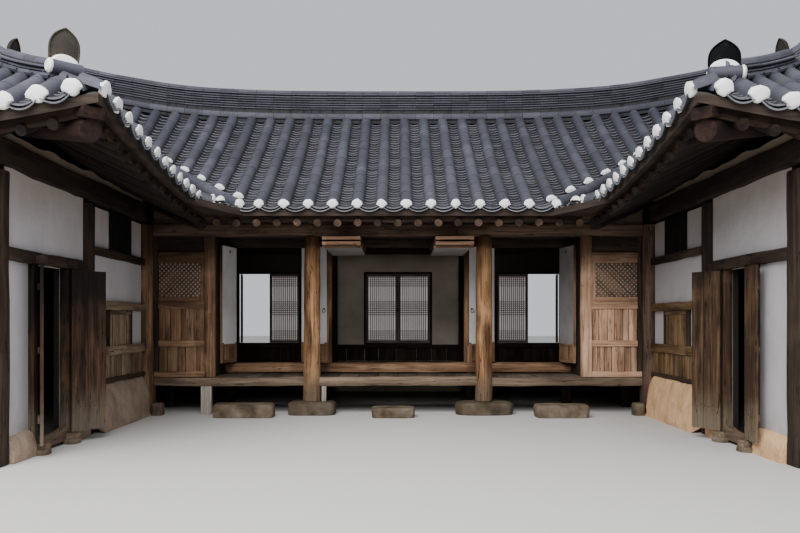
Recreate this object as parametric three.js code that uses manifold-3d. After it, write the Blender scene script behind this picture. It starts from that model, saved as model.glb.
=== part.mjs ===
// A tile-roofed timber house round three sides of a court.
// Millimetres, +Z up, the court opening towards -Y and the ground at Z = 0.
// Y is measured from the line of the front columns until the last group moves
// the house so that its plan is centred on the origin.
import * as THREE from "three";
import { mergeVertices } from "three/addons/utils/BufferGeometryUtils.js";
import Module from "manifold-3d";

const wasm = await Module();
wasm.setup();

// What is left between two pieces that rest on each other.
const GAP = 0.3;
// How far a member runs into the one it is framed to, inside one piece.
const TENON = 3;
// How far each half of a symmetrical piece runs past the middle line.
const MIDDLE_LAP = 20;
// Beyond the house on every side, for the tools that cut it.
const FAR = 9000;

// Plan lines, as distances from the middle line of the house or along Y.
const plan = {
  columnX: 1200,
  cornerX: 3410,
  wallX: 3560,
  outerX: 6000,
  midPostY: -2000,
  endPostY: -4000,
  rearY: 3700,
  ridgeY: 1850,
  wingRidgeX: 4800,
  slab: 100,
};

// Heights above the ground.
const level = {
  plinth: 180,
  beamUnder: 394,
  beamTop: 520,
  veranda: 515,
  hallFloor: 560,
  sillTop: 678,
  lintel: 2410,
  lintelTop: 2530,
  frontBeam: 2480,
  plate: 2640,
  plateTop: 2920,
  purlinTop: 2975,
  rearFoot: 460,
  outerFoot: 300,
  windowLow: 860,
  windowHigh: 2216,
};

// Roof: plan lines of the eaves and gables, and the curve of the tile bed.
const roof = {
  frontEaveY: -1100,
  rearEaveY: 4800,
  innerEaveX: 2400,
  outerEaveX: 7200,
  endEaveY: -4700,
  gableX: 5300,
  endGableY: -3300,
  eaveTop: 2700,
  eaveUnder: 2620,
  lip: 100,
  slope: 0.54,
  sag: 0.0000305,
  underSlope: 0.465,
  deckDepth: 250,
  gableWall: 150,
  ridgeHalf: 120,
  cornerLift: 430,
  liftReach: 4000,
  sweep: 375,
  sweepX: 5200,
};

// The eave runs across the inner corners of the court between these points.
const courtCorner = { alongWing: -1900, alongMain: 1950 };

const rafter = { radius: 55, pitch: 256.5, sides: 5, inset: 90, reach: 1700, clear: 12 };

// The filling between rafters over a wall plate.
const filling = { width: 60, clear: 22, step: 600 };

// The plank doorway of each wing: the clear opening, the widths of the two
// leaves, and how far each stands short of lying back on the wall.
const doorway = {
  left: { farY: -2640, nearY: -3340, farLeaf: 395, nearLeaf: 300, farTurn: 36, nearTurn: 24 },
  right: { farY: -2540, nearY: -3170, farLeaf: 345, nearLeaf: 280, farTurn: 32, nearTurn: 4 },
};
const plank = { bottom: 120, top: 1840, thick: 35, pivotX: 3462, tail: 18, pin: 15 };

// The papered doors beside the hall: hinge lines, leaf size and opening.
const hallDoor = {
  innerX: 1430,
  outerX: 2470,
  hingeY: 855,
  width: 505,
  thick: 40,
  bottom: 690,
  top: 2400,
  innerOpen: 145,
  outerOpen: 102,
};

const knuckle = { radius: 8, half: 40, inFromEnd: 200 };
const knuckleZs = [hallDoor.bottom + knuckle.inFromEnd, hallDoor.top - knuckle.inFromEnd];

// Each window in the rear wall: its middle, its half width, the side of it that
// stands open and how far that leaf is turned.
const rearWindows = {
  left: { x: -2400, half: 600, openSide: -1, turn: 100 },
  centre: { x: 0, half: 635, openSide: 0, turn: 0 },
  right: { x: 2430, half: 620, openSide: 1, turn: 100 },
};

// The casing of a rear window and its leaves, measured from the wall's middle.
const casement = { rim: 40, within: 60, out: 45, leaf: [-10, 25], pivot: 40, knuckleIn: 150 };

// Half widths of the squared timbers, and how far a plate runs past its posts.
const timber = { corner: 110, post: 90, plateEnd: 150 };
const wallFootHalf = 120;

// The frame along the front of the hall.
const hallFrame = {
  y: [865, 985],
  foot: 560,
  posts: [[1000, 1200], [1390, 1430], [2470, 2620]],
  panel: [1199, 1400],
  panelY: [885, 965],
  lintelEnd: 2620,
  stubXs: [1100, 2545, 3450],
  stubHalf: 70,
  stubY: [850, 970],
  sill: { y: 905, z: 595, radius: 85, end: 3540 },
};

// The hall doors that are folded together and hung level under the eave.
const lifted = {
  x: [485, 985],
  y: [-840, 862],
  lower: [2284, 2336],
  upper: [2344, 2396],
  hingeXs: [620, 850],
  tieYs: [-700, 700],
  rodY: -640,
};

// Timbers of the court-side walls: the rails by their heights, and the threshold.
const courtRails = [[545, 600], [880, 1000], [1430, 1540], [2070, 2170]];
const doorLintel = { low: 1850, high: 1970 };
const threshold = { foot: 40, far: 190, middle: 110, near: 150, lap: 20 };
const jambWidth = 90;

// Rails of the outer walls, by their lower edges.
const outerRails = [level.outerFoot + GAP, 1050, 1900];
const outerRailDepth = 110;

// Ridges: each is built a little into the deck and then cut to sit on it.
const ridge = {
  seat: 40,
  low: { height: 250, width: 220 },
  hip: { height: 210, width: 220, inset: 90 },
  wing: { height: 380, width: 260, frontRise: 130 },
  main: { top: 5060, width: 280 },
  vergeInset: 130,
};

// The rounded tiles that end the ridges: their size, how high the foot of each
// stands over the tile bed, and how far in from the corner a hip's one stands.
const ridgeEnd = {
  wing: { rise: 270, height: 420, width: 280 },
  verge: { rise: 45, height: 360, width: 250 },
  hip: { rise: 115, height: 400, width: 260, inset: 140 },
  main: { drop: 290, height: 480, width: 300 },
};

// How far in from the valley line a rafter that ends there starts.
const valleyClear = 190;

const colours = {
  tile: [0x59616c, 0.75],
  timber: [0x4a3326, 0.8],
  column: [0x8a6136, 0.8],
  weathered: [0x8d7a64, 0.9],
  plaster: [0xcfccd4, 0.9],
  mud: [0xa98a63, 0.95],
  stone: [0x8b8a80, 0.9],
  paper: [0xded9cf, 0.85],
  plank: [0x6d5238, 0.85],
};

function manifoldOf(geometry) {
  const bare = geometry.clone();
  bare.deleteAttribute("normal");
  bare.deleteAttribute("uv");
  const merged = mergeVertices(bare, 1e-4);
  return new wasm.Manifold(
    new wasm.Mesh({
      numProp: 3,
      vertProperties: merged.attributes.position.array,
      triVerts: new Uint32Array(merged.index.array),
    }),
  );
}

function geometryOf(manifold) {
  const mesh = manifold.getMesh();
  const geometry = new THREE.BufferGeometry();
  geometry.setAttribute("position", new THREE.BufferAttribute(mesh.vertProperties, 3));
  geometry.setIndex(new THREE.BufferAttribute(mesh.triVerts, 1));
  return geometry;
}

function join(...geometries) {
  return geometryOf(geometries.map(manifoldOf).reduce((all, next) => all.add(next)));
}

function cut(geometry, ...tools) {
  return geometryOf(tools.map(manifoldOf).reduce((all, next) => all.subtract(next), manifoldOf(geometry)));
}

function clip(geometry, tool) {
  return geometryOf(manifoldOf(geometry).intersect(manifoldOf(tool)));
}

// The same solid without the slivers that cutting leaves.
function cleaned(geometry) {
  return geometryOf(manifoldOf(geometry).simplify(0.05));
}

function mirror(geometry) {
  const copy = geometry.clone().scale(-1, 1, 1);
  const index = Array.from(copy.index.array);
  for (let i = 0; i < index.length; i += 3) [index[i], index[i + 1]] = [index[i + 1], index[i]];
  return copy.setIndex(index);
}

// A half that runs a little past the middle line, joined to its mirror image.
function bothSides(half) {
  return join(half, mirror(half));
}

function moved(geometry, x, y, z) {
  return geometry.clone().translate(x, y, z);
}

function box([x0, x1], [y0, y1], [z0, z1]) {
  const geometry = new THREE.BoxGeometry(x1 - x0, y1 - y0, z1 - z0);
  return geometry.translate((x0 + x1) / 2, (y0 + y1) / 2, (z0 + z1) / 2);
}

// An outline of [x, z] points drawn out along Y.
function sectionAlongY(points, [y0, y1]) {
  const shape = new THREE.Shape(points.map(([x, z]) => new THREE.Vector2(x, z)));
  const geometry = new THREE.ExtrudeGeometry(shape, { depth: y1 - y0, bevelEnabled: false });
  return geometry.rotateX(Math.PI / 2).translate(0, y1, 0);
}

// An outline of [x, y] points drawn up along Z.
function planOutline(points, [z0, z1]) {
  const shape = new THREE.Shape(points.map(([x, y]) => new THREE.Vector2(x, y)));
  const geometry = new THREE.ExtrudeGeometry(shape, { depth: z1 - z0, bevelEnabled: false });
  return geometry.translate(0, 0, z0);
}

function log(from, to, radius, sides = 8) {
  const a = new THREE.Vector3(...from);
  const b = new THREE.Vector3(...to);
  const geometry = new THREE.CylinderGeometry(radius, radius, a.distanceTo(b), sides);
  const turn = new THREE.Quaternion().setFromUnitVectors(
    new THREE.Vector3(0, 1, 0),
    b.clone().sub(a).normalize(),
  );
  const middle = a.add(b).multiplyScalar(0.5);
  return geometry.applyQuaternion(turn).translate(middle.x, middle.y, middle.z);
}

// A low wall of constant width that follows a line of [x, y] points, between
// a bottom and a top height given at each point.
function ridgeWall(points, width) {
  const half = width / 2;
  const corners = points.map(([x, y, low, high], i) => {
    const before = points[Math.max(i - 1, 0)];
    const after = points[Math.min(i + 1, points.length - 1)];
    const run = new THREE.Vector2(after[0] - before[0], after[1] - before[1]).normalize();
    const [sideX, sideY] = [-run.y * half, run.x * half];
    return [
      [x + sideX, y + sideY, low],
      [x - sideX, y - sideY, low],
      [x - sideX * 0.8, y - sideY * 0.8, high],
      [x + sideX * 0.8, y + sideY * 0.8, high],
    ];
  });
  const positions = corners.flat(2);
  const index = [];
  for (let i = 0; i + 1 < points.length; i += 1) {
    for (let side = 0; side < 4; side += 1) {
      const a = i * 4 + side;
      const b = i * 4 + ((side + 1) % 4);
      index.push(a, b + 4, b, a, a + 4, b + 4);
    }
  }
  const last = (points.length - 1) * 4;
  index.push(0, 1, 2, 0, 2, 3, last, last + 2, last + 1, last, last + 3, last + 2);
  const geometry = new THREE.BufferGeometry();
  geometry.setAttribute("position", new THREE.Float32BufferAttribute(positions, 3));
  geometry.setIndex(index);
  return geometry;
}

// Where the wing's roof meets the main roof, seen from above.
const valleyFoot = [roof.innerEaveX, roof.frontEaveY];
const valleyHead = [plan.wingRidgeX, roof.frontEaveY + plan.wingRidgeX - roof.innerEaveX];
const breakX = roof.gableX + 100;
const breakY = valleyHead[1] - (breakX - plan.wingRidgeX);

// How far the eave line is swept up near a corner of the roof.
function liftAt(x, y) {
  const corners = [
    [roof.innerEaveX, roof.endEaveY],
    [roof.outerEaveX, roof.endEaveY],
    [roof.outerEaveX, roof.rearEaveY],
  ];
  return corners.reduce((sum, [cx, cy]) => {
    const away = Math.max(Math.abs(Math.abs(x) - cx), Math.abs(y - cy));
    return sum + roof.cornerLift * Math.max(0, 1 - away / roof.liftReach) ** 2;
  }, 0);
}

// How far the roof is swept up towards the ends of the main ridge.
function sweepAt(x, y) {
  const reach = plan.ridgeY - roof.frontEaveY;
  const share = (side) => {
    const inward = side < plan.ridgeY ? side - roof.frontEaveY : roof.rearEaveY - side;
    return Math.max(0, inward / reach) ** 3;
  };
  const outward = Math.abs(x);
  if (outward <= roof.gableX) return roof.sweep * (outward / roof.sweepX) ** 3.4 * share(y);
  const fade = ((roof.outerEaveX - outward) / (roof.outerEaveX - roof.gableX)) ** 2;
  const past = Math.max(0, 1 - Math.max(0, y - breakY) / (plan.ridgeY - breakY));
  return y > plan.ridgeY ? 0 : roof.sweep * fade * past * share(Math.min(y, breakY));
}

function bedHeight(inward) {
  const rise = Math.max(0, inward);
  return roof.eaveTop + roof.slope * rise + roof.sag * rise ** 2;
}

function deckUnder(inward) {
  const sloped = roof.eaveUnder + roof.underSlope * Math.max(0, inward - roof.lip);
  return Math.max(sloped, bedHeight(inward) - roof.deckDepth);
}

// Distance in from the nearest eave, on a wing and on the main range.
function wingInward(x, y, gableY) {
  const side = Math.min(Math.abs(x) - roof.innerEaveX, roof.outerEaveX - Math.abs(x));
  const ridge = plan.wingRidgeX - roof.innerEaveX - roof.ridgeHalf;
  const inward = y < gableY ? Math.min(side, y - roof.endEaveY) : side;
  return Math.min(inward, ridge);
}

function mainInward(x, y, gableX) {
  const side = Math.min(y - roof.frontEaveY, roof.rearEaveY - y);
  const ridge = plan.ridgeY - roof.frontEaveY - roof.ridgeHalf;
  const outer = Math.min(roof.outerEaveX - Math.abs(x), roof.rearEaveY - y);
  return Math.min(Math.abs(x) > gableX ? outer : side, ridge);
}

// A roof deck over a rectangle of plan lines: the tile bed above, the boarding
// below, and the gable as thick as its wall where the bed steps down.
function deck(xs, ys, bedAt, underAt) {
  const stride = ys.length;
  const top = xs.flatMap((x) => ys.map((y) => [x, y, bedAt(x, y)]));
  const bottom = xs.flatMap((x) => ys.map((y) => [x, y, underAt(x, y)]));
  const offset = top.length;
  const index = [];
  const quad = (a, b, c, d) => index.push(a, b, c, a, c, d);
  const points = [...top, ...bottom];
  const height = (i) => points[i][2];
  // Each cell is split along its higher diagonal, so that hips stay sharp.
  const cell = (a, b, c, d) =>
    height(a) + height(c) >= height(b) + height(d) ? quad(a, b, c, d) : quad(b, c, d, a);
  for (let i = 0; i + 1 < xs.length; i += 1) {
    for (let j = 0; j + 1 < ys.length; j += 1) {
      const a = i * stride + j;
      cell(a, a + stride, a + stride + 1, a + 1);
      cell(offset + a, offset + a + 1, offset + a + stride + 1, offset + a + stride);
    }
  }
  const endI = (xs.length - 1) * stride;
  for (let j = 0; j + 1 < ys.length; j += 1) {
    quad(j, j + 1, offset + j + 1, offset + j);
    quad(endI + j + 1, endI + j, offset + endI + j, offset + endI + j + 1);
  }
  for (let i = 0; i + 1 < xs.length; i += 1) {
    const a = i * stride;
    const b = a + stride - 1;
    quad(a + stride, a, offset + a, offset + a + stride);
    quad(b, b + stride, offset + b + stride, offset + b);
  }
  const geometry = new THREE.BufferGeometry();
  geometry.setAttribute("position", new THREE.Float32BufferAttribute(points.flat(), 3));
  geometry.setIndex(index);
  return geometry;
}

// Evenly spaced values from a to b, both included, no step over the given one.
function steps(a, b, step) {
  const count = Math.max(1, Math.ceil(Math.abs(b - a) / step));
  return Array.from({ length: count + 1 }, (_, i) => a + ((b - a) * i) / count);
}

function unique(values) {
  return [...new Set(values.map((v) => Math.round(v * 10) / 10))].sort((a, b) => a - b);
}

function wingDeck() {
  const step = 1; // Width of the sheer step at a gable.
  const hip = roof.endGableY - roof.endEaveY;
  const xs = unique([
    courtCorner.alongMain - 10,
    ...steps(roof.innerEaveX, roof.innerEaveX + hip, 400),
    ...steps(roof.innerEaveX + hip, plan.wingRidgeX - roof.ridgeHalf, 540),
    ...steps(plan.wingRidgeX + roof.ridgeHalf, roof.outerEaveX - hip, 540),
    ...steps(roof.outerEaveX - hip, roof.outerEaveX, 400),
  ]);
  const ys = unique([
    ...steps(roof.endEaveY, roof.endGableY - step, 400),
    roof.endGableY + step,
    roof.endGableY + roof.gableWall - step,
    roof.endGableY + roof.gableWall + step,
    ...steps(roof.endGableY + 600, valleyHead[1], 650),
  ]);
  const whole = deck(
    xs,
    ys,
    (x, y) => bedHeight(wingInward(x, y, roof.endGableY)) + liftAt(x, y) + sweepAt(x, y),
    (x, y) => deckUnder(wingInward(x, y, roof.endGableY + roof.gableWall)) + liftAt(x, y) + sweepAt(x, y),
  );
  const outline = [
    [roof.innerEaveX, roof.endEaveY],
    [roof.outerEaveX, roof.endEaveY],
    [roof.outerEaveX, breakY],
    [breakX, breakY],
    valleyHead,
    [valleyFoot[0], valleyFoot[1] - GAP],
    [courtCorner.alongMain, roof.frontEaveY - GAP],
    [roof.innerEaveX, courtCorner.alongWing],
  ];
  return clip(whole, planOutline(outline, [0, FAR]));
}

function mainDeck() {
  const step = 1;
  const xs = unique([
    -MIDDLE_LAP,
    ...steps(MIDDLE_LAP, roof.innerEaveX, 1200),
    ...steps(roof.innerEaveX, roof.gableX - roof.gableWall - step, 720),
    roof.gableX - roof.gableWall + step,
    roof.gableX - step,
    roof.gableX + step,
    ...steps(roof.gableX + step, roof.outerEaveX, 480),
  ]);
  const front = steps(roof.frontEaveY, plan.ridgeY - roof.ridgeHalf, 480);
  const hipY = roof.rearEaveY - (roof.outerEaveX - roof.gableX - step);
  const rear = [...steps(plan.ridgeY + roof.ridgeHalf, hipY, 480), ...steps(hipY, roof.rearEaveY, 480)];
  const whole = deck(
    xs,
    unique([...front, ...rear]),
    (x, y) => bedHeight(mainInward(x, y, roof.gableX)) + liftAt(x, y) + sweepAt(x, y),
    (x, y) => deckUnder(mainInward(x, y, roof.gableX - roof.gableWall)) + liftAt(x, y) + sweepAt(x, y),
  );
  const outline = [
    [-MIDDLE_LAP, roof.frontEaveY],
    [valleyFoot[0] - GAP, valleyFoot[1]],
    [valleyHead[0] - GAP, valleyHead[1] + GAP],
    [breakX, breakY + 2 * GAP],
    [roof.outerEaveX, breakY + GAP],
    [roof.outerEaveX, roof.rearEaveY],
    [-MIDDLE_LAP, roof.rearEaveY],
  ];
  return bothSides(clip(whole, planOutline(outline, [0, FAR])));
}

const wingRoof = wingDeck();
const mainRoof = mainDeck();

// The underside of the roof above a point of the plan.
function roofUnder(x, y) {
  const overWing = y < roof.frontEaveY + Math.abs(x) - roof.innerEaveX && y < valleyHead[1];
  const inward = overWing
    ? wingInward(x, y, roof.endGableY + roof.gableWall)
    : mainInward(x, y, roof.gableX - roof.gableWall);
  return deckUnder(inward) + liftAt(x, y) + sweepAt(x, y);
}

// The filling between rafters, from a wall plate up to the roof boarding.
function plateFilling(from, to) {
  const [runX, runY] = [to[0] - from[0], to[1] - from[1]];
  const length = Math.hypot(runX, runY);
  const points = steps(0, length, filling.step).map((along) => {
    const x = from[0] + (runX * along) / length;
    const y = from[1] + (runY * along) / length;
    return [x, y, level.plateTop - TENON, roofUnder(x, y) - filling.clear];
  });
  return ridgeWall(points, filling.width);
}

// A rounded end tile that closes a ridge, standing across its run.
function endTile(x, y, z, heading, { height, width }) {
  const half = width / 2;
  const shape = new THREE.Shape();
  shape.moveTo(-half, 0);
  shape.lineTo(half, 0);
  shape.lineTo(half, height * 0.45);
  shape.quadraticCurveTo(half * 0.9, height * 0.85, 0, height);
  shape.quadraticCurveTo(-half * 0.9, height * 0.85, -half, height * 0.45);
  const geometry = new THREE.ExtrudeGeometry(shape, { depth: 70, bevelEnabled: false, curveSegments: 3 });
  geometry.rotateX(Math.PI / 2 - 0.16).rotateZ(heading);
  return geometry.translate(x, y, z);
}

// Height of the tile bed at a point that lies the given distance in from its eave.
function bedAt(x, y, inward) {
  return bedHeight(inward) + liftAt(x, y) + sweepAt(x, y);
}

// A ridge between two points of the plan, on the deck that lies under it.
function ridgeLine(from, to, count, height, width, inwardAt) {
  const points = Array.from({ length: count + 1 }, (_, i) => {
    const t = i / count;
    const x = from[0] + (to[0] - from[0]) * t;
    const y = from[1] + (to[1] - from[1]) * t;
    const base = bedAt(x, y, inwardAt(x, y));
    return [x, y, base - ridge.seat, base + height(t)];
  });
  return ridgeWall(points, width);
}

function wingRidge() {
  const top = plan.wingRidgeX - roof.innerEaveX - roof.ridgeHalf;
  const sideways = (x) => Math.min(x - roof.innerEaveX, roof.outerEaveX - x, top);
  const alongTop = (x, y) => Math.max(top, y - roof.frontEaveY);
  const gableY = roof.endGableY + ridge.vergeInset;
  const rise = roof.endGableY - roof.endEaveY;
  const feet = [
    { x: roof.innerEaveX, side: 1 },
    { x: roof.outerEaveX, side: -1 },
  ];
  const crest = (t) => ridge.wing.height + ridge.wing.frontRise * (1 - t) ** 4;
  const front = [plan.wingRidgeX, gableY - 60];
  const pieces = [
    ridgeLine(front, [plan.wingRidgeX, 1690], 6, crest, ridge.wing.width, alongTop),
    endTile(
      plan.wingRidgeX,
      gableY - 10,
      bedAt(plan.wingRidgeX, gableY, top) + ridgeEnd.wing.rise,
      0,
      ridgeEnd.wing,
    ),
  ];
  for (const { x, side } of feet) {
    const foot = x + side * rise;
    const verge = [[plan.wingRidgeX, gableY], [foot - side * 60, gableY]];
    const hip = [
      [foot + side * 60, roof.endGableY + 60],
      [x + side * ridge.hip.inset, roof.endEaveY + ridge.hip.inset],
    ];
    const vergeZ = bedAt(foot, gableY, rise) + ridgeEnd.verge.rise;
    const [hipX, hipY] = [x + side * ridgeEnd.hip.inset, roof.endEaveY + ridgeEnd.hip.inset];
    const hipZ = bedAt(hipX, hipY, ridgeEnd.hip.inset) + ridgeEnd.hip.rise;
    pieces.push(
      ridgeLine(...verge, 4, () => ridge.low.height, ridge.low.width, sideways),
      endTile(foot - side * 20, gableY, vergeZ, (-side * Math.PI) / 2, ridgeEnd.verge),
      ridgeLine(...hip, 5, () => ridge.hip.height, ridge.hip.width, (px) => side * (px - x)),
      endTile(hipX, hipY, hipZ, (-side * Math.PI) / 4, ridgeEnd.hip),
    );
  }
  return cut(
    join(...pieces),
    moved(wingRoof, 0, 0, GAP),
    moved(wingRoof, 0, -GAP, GAP),
    moved(mainRoof, 0, 0, GAP),
  );
}

// Top of the main ridge, which sweeps up towards its ends.
function crown(x) {
  return ridge.main.top + roof.sweep * (Math.abs(x) / roof.sweepX) ** 3.4;
}

function mainRidge() {
  const top = plan.ridgeY - roof.frontEaveY - roof.ridgeHalf;
  const reach = roof.gableX + 120;
  const base = (x) =>
    bedHeight(top) + liftAt(x, plan.ridgeY) + sweepAt(Math.min(x, roof.gableX), plan.ridgeY) - ridge.seat;
  const stations = [-MIDDLE_LAP, ...steps(MIDDLE_LAP, reach, 680)];
  const line = stations.map((x) => [x, plan.ridgeY, base(x), crown(x)]);
  const sideways = (x, y) => Math.min(y - roof.frontEaveY, roof.rearEaveY - y, top);
  const vergeX = roof.gableX - ridge.vergeInset;
  const rise = roof.outerEaveX - roof.gableX;
  const frontFoot = roof.frontEaveY + rise;
  const rearFoot = roof.rearEaveY - rise;
  const verge = (endY) =>
    ridgeLine([vergeX, plan.ridgeY], [vergeX, endY], 4, () => ridge.low.height, ridge.low.width, sideways);
  const hip = [
    [roof.gableX - 60, rearFoot - 60],
    [roof.outerEaveX - ridge.hip.inset, roof.rearEaveY - ridge.hip.inset],
  ];
  const vergeZ = (y) => bedAt(vergeX, y, rise) + ridgeEnd.verge.rise;
  const [hipX, hipY] = [roof.outerEaveX - ridgeEnd.hip.inset, roof.rearEaveY - ridgeEnd.hip.inset];
  const hipZ = bedAt(hipX, hipY, ridgeEnd.hip.inset) + ridgeEnd.hip.rise;
  const pieces = [
    ridgeWall(line, ridge.main.width),
    endTile(reach - 20, plan.ridgeY, crown(reach) - ridgeEnd.main.drop, Math.PI / 2, ridgeEnd.main),
    verge(frontFoot - 40),
    verge(rearFoot + 40),
    endTile(vergeX, frontFoot, vergeZ(frontFoot), 0, ridgeEnd.verge),
    endTile(vergeX, rearFoot, vergeZ(rearFoot), Math.PI, ridgeEnd.verge),
    ridgeLine(...hip, 7, () => ridge.hip.height, ridge.hip.width, (x) => roof.outerEaveX - x),
    endTile(hipX, hipY, hipZ, Math.PI * 0.75, ridgeEnd.hip),
  ];
  const half = cut(
    join(...pieces),
    moved(mainRoof, 0, 0, GAP),
    moved(mainRoof, GAP, -GAP, GAP),
    moved(wingRoof, 0, 0, GAP),
    moved(wingRoof, GAP, GAP, GAP),
  );
  return bothSides(half);
}

// A round rafter between two distances in from the eave.
function rafterLog([x, y], [ux, uy], from, to) {
  const at = (inward) => {
    const [px, py] = [x + ux * inward, y + uy * inward];
    const back = roof.eaveUnder + roof.underSlope * (inward - roof.lip) - rafter.clear;
    return [px, py, back - rafter.radius + liftAt(px, py)];
  };
  return log(at(from), at(to), rafter.radius, rafter.sides);
}

// The board that ties the rafters' ends just inside the eave.
function eaveBoard(points, [ux, uy]) {
  const depth = 45;
  const line = points.map(([x, y]) => {
    const z = roof.eaveUnder + liftAt(x, y);
    return [x + ux * (roof.lip + depth / 2), y + uy * (roof.lip + depth / 2), z - 60, z + 30];
  });
  return ridgeWall(line, depth);
}

// The given number of values after a start, one pitch apart.
function spaced(start, count, pitch) {
  return Array.from({ length: count }, (_, i) => start + (i + 1) * pitch);
}

function centred(length, pitch) {
  const count = Math.floor(length / pitch / 2);
  return Array.from({ length: 2 * count + 1 }, (_, i) => (i - count) * pitch);
}

function frontBeam() {
  const end = plan.cornerX - GAP;
  const beam = box([-end, end], [-85, 85], [level.frontBeam + GAP, level.plate + TENON]);
  const packing = box([-end, end], [-45, 45], [level.plate, level.purlinTop - 100]);
  const purlin = log([-end, 0, level.purlinTop - 95], [end, 0, level.purlinTop - 95], 95, 8);
  const logs = centred(2 * (plan.cornerX - 260), rafter.pitch).map((x) => {
    const past = Math.max(0, Math.abs(x) - roof.innerEaveX);
    const from = past > 0 ? past + valleyClear : rafter.inset;
    return rafterLog([x, roof.frontEaveY], [0, 1], from, rafter.reach - 100);
  });
  const reach = roof.innerEaveX - 60;
  const edge = eaveBoard([-reach, 0, reach].map((x) => [x, roof.frontEaveY]), [0, 1]);
  return join(beam, packing, purlin, ...logs, edge);
}

// The wall plate of a wing on its court side, with the rafters above it.
function courtEave() {
  const endY = plan.endPostY - timber.plateEnd;
  const plate = box([3490, 3710], [endY, 120], [level.plate + GAP, level.plateTop]);
  const bay = [plan.endPostY + timber.corner, plan.midPostY - timber.corner];
  const relief = box([3000, 4000], bay, [2000, 2710]);
  const strip = plateFilling([3620, 120], [3620, endY]);
  const first = roof.endEaveY + 150;
  const last = roof.frontEaveY - 60;
  const belowGable = Math.floor((roof.endGableY + roof.gableWall - first) / rafter.pitch);
  const cornerYs = spaced(first, belowGable, rafter.pitch);
  const commonYs = steps(first + (belowGable + 1) * rafter.pitch, last, rafter.pitch);
  const jackYs = spaced(last, 4, rafter.pitch);
  const logs = [
    ...cornerYs.map((y) => rafterLog([roof.innerEaveX, y], [1, 0], rafter.inset, y - roof.endEaveY - 120)),
    ...commonYs.map((y) => rafterLog([roof.innerEaveX, y], [1, 0], rafter.inset, 1600)),
    ...jackYs.map((y) =>
      rafterLog([roof.innerEaveX, y], [1, 0], y - roof.frontEaveY + valleyClear, 1600)),
  ];
  const hip = hipRafter([roof.innerEaveX, roof.endEaveY], [1, 1], 1280);
  const line = steps(first, last, 600).map((y) => [roof.innerEaveX, y]);
  const valley = log([2500, -1000, 2535], [3640, 140, 3035], 80, 6);
  const beamEnd = box([2000, plan.cornerX], [-96, 400], [0, 2990]);
  const all = join(cut(plate, relief), strip, ...logs, hip, eaveBoard(line, [1, 0]), valley);
  return cut(all, beamEnd);
}

function hipRafter([x, y], [ux, uy], reach) {
  const at = (inward) => [
    x + ux * inward,
    y + uy * inward,
    roof.eaveUnder - 125 + roof.underSlope * (inward - roof.lip)
      + roof.cornerLift * Math.max(0, 1 - inward / roof.liftReach) ** 2,
  ];
  return log(at(60), at(reach), 80, 6);
}

function outerFrame() {
  const { corner, post, plateEnd } = timber;
  const face = plan.outerX + plan.slab / 2 + GAP;
  const postYs = [plan.midPostY, 0, plan.ridgeY];
  const wide = [plan.outerX - corner, plan.outerX + corner];
  const corners = [plan.endPostY, plan.rearY].map((y) =>
    box(wide, [y - corner, y + corner], [0, level.plate + TENON]));
  const postZ = [level.outerFoot + GAP, level.plate + TENON];
  const posts = postYs.map((y) => box([face, wide[1]], [y - post, y + post], postZ));
  const rails = outerRails.map((z) =>
    box([face, plan.outerX + post], [plan.endPostY, plan.rearY], [z, z + outerRailDepth]));
  const ends = [plan.endPostY - plateEnd, plan.rearY + plateEnd];
  const plate = box(wide, ends, [level.plate + GAP, level.plateTop]);
  const strip = plateFilling([plan.outerX, ends[0]], [plan.outerX, ends[1]]);
  const hips = [
    hipRafter([roof.outerEaveX, roof.endEaveY], [-1, 1], 1280),
    hipRafter([roof.outerEaveX, roof.rearEaveY], [-1, -1], 1280),
  ];
  return join(...corners, ...posts, ...rails, plate, strip, ...hips);
}

function endFrame() {
  const inner = 3710 + GAP;
  const outer = plan.outerX - timber.corner - GAP;
  const face = plan.endPostY - plan.slab / 2 - GAP;
  const postX = [plan.wingRidgeX - timber.post, plan.wingRidgeX + timber.post];
  const postZ = [level.outerFoot + GAP, level.plate + TENON];
  const post = box(postX, [plan.endPostY - timber.corner, face], postZ);
  const rails = outerRails.map((z) =>
    box([inner, outer], [plan.endPostY - timber.post, face], [z, z + outerRailDepth]));
  const plateY = [plan.endPostY - timber.corner, plan.endPostY + timber.corner];
  const plate = box([inner, outer], plateY, [level.plate + GAP, level.plateTop]);
  const strip = plateFilling([inner, plan.endPostY], [outer, plan.endPostY]);
  return join(post, ...rails, plate, strip);
}

function rearFrame() {
  const { corner, post } = timber;
  const reach = plan.outerX - corner - GAP;
  const face = plan.rearY + plan.slab / 2 + GAP;
  const postXs = [-4800, -3600, -1200, 1200, 3600, 4800];
  const postZ = [level.rearFoot + GAP, level.plate + TENON];
  const posts = postXs.map((x) => box([x - post, x + post], [face, plan.rearY + corner], postZ));
  const rails = [
    [level.rearFoot + GAP, 560],
    [level.windowLow - 110, level.windowLow - 5],
    [level.windowHigh + 5, level.windowHigh + 115],
  ];
  const railLogs = rails.map((z) => box([-reach, reach], [face, plan.rearY + post], z));
  const plateY = [plan.rearY - corner, plan.rearY + corner];
  const plate = box([-reach, reach], plateY, [level.plate + GAP, level.plateTop]);
  const strip = plateFilling([-reach, plan.rearY], [reach, plan.rearY]);
  return join(...posts, ...railLogs, plate, strip);
}

function rearWall() {
  const reach = plan.outerX - timber.corner - GAP;
  const around = (half) => [plan.rearY - half, plan.rearY + half];
  const slab = box([-reach, reach], around(plan.slab / 2), [0, level.plate]);
  const foot = box([-reach, reach], around(wallFootHalf), [0, level.rearFoot]);
  const holes = Object.values(rearWindows).map(({ x, half }) =>
    box([x - half, x + half], [0, FAR], [level.windowLow, level.windowHigh]));
  return cut(join(slab, foot), ...holes);
}

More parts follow.
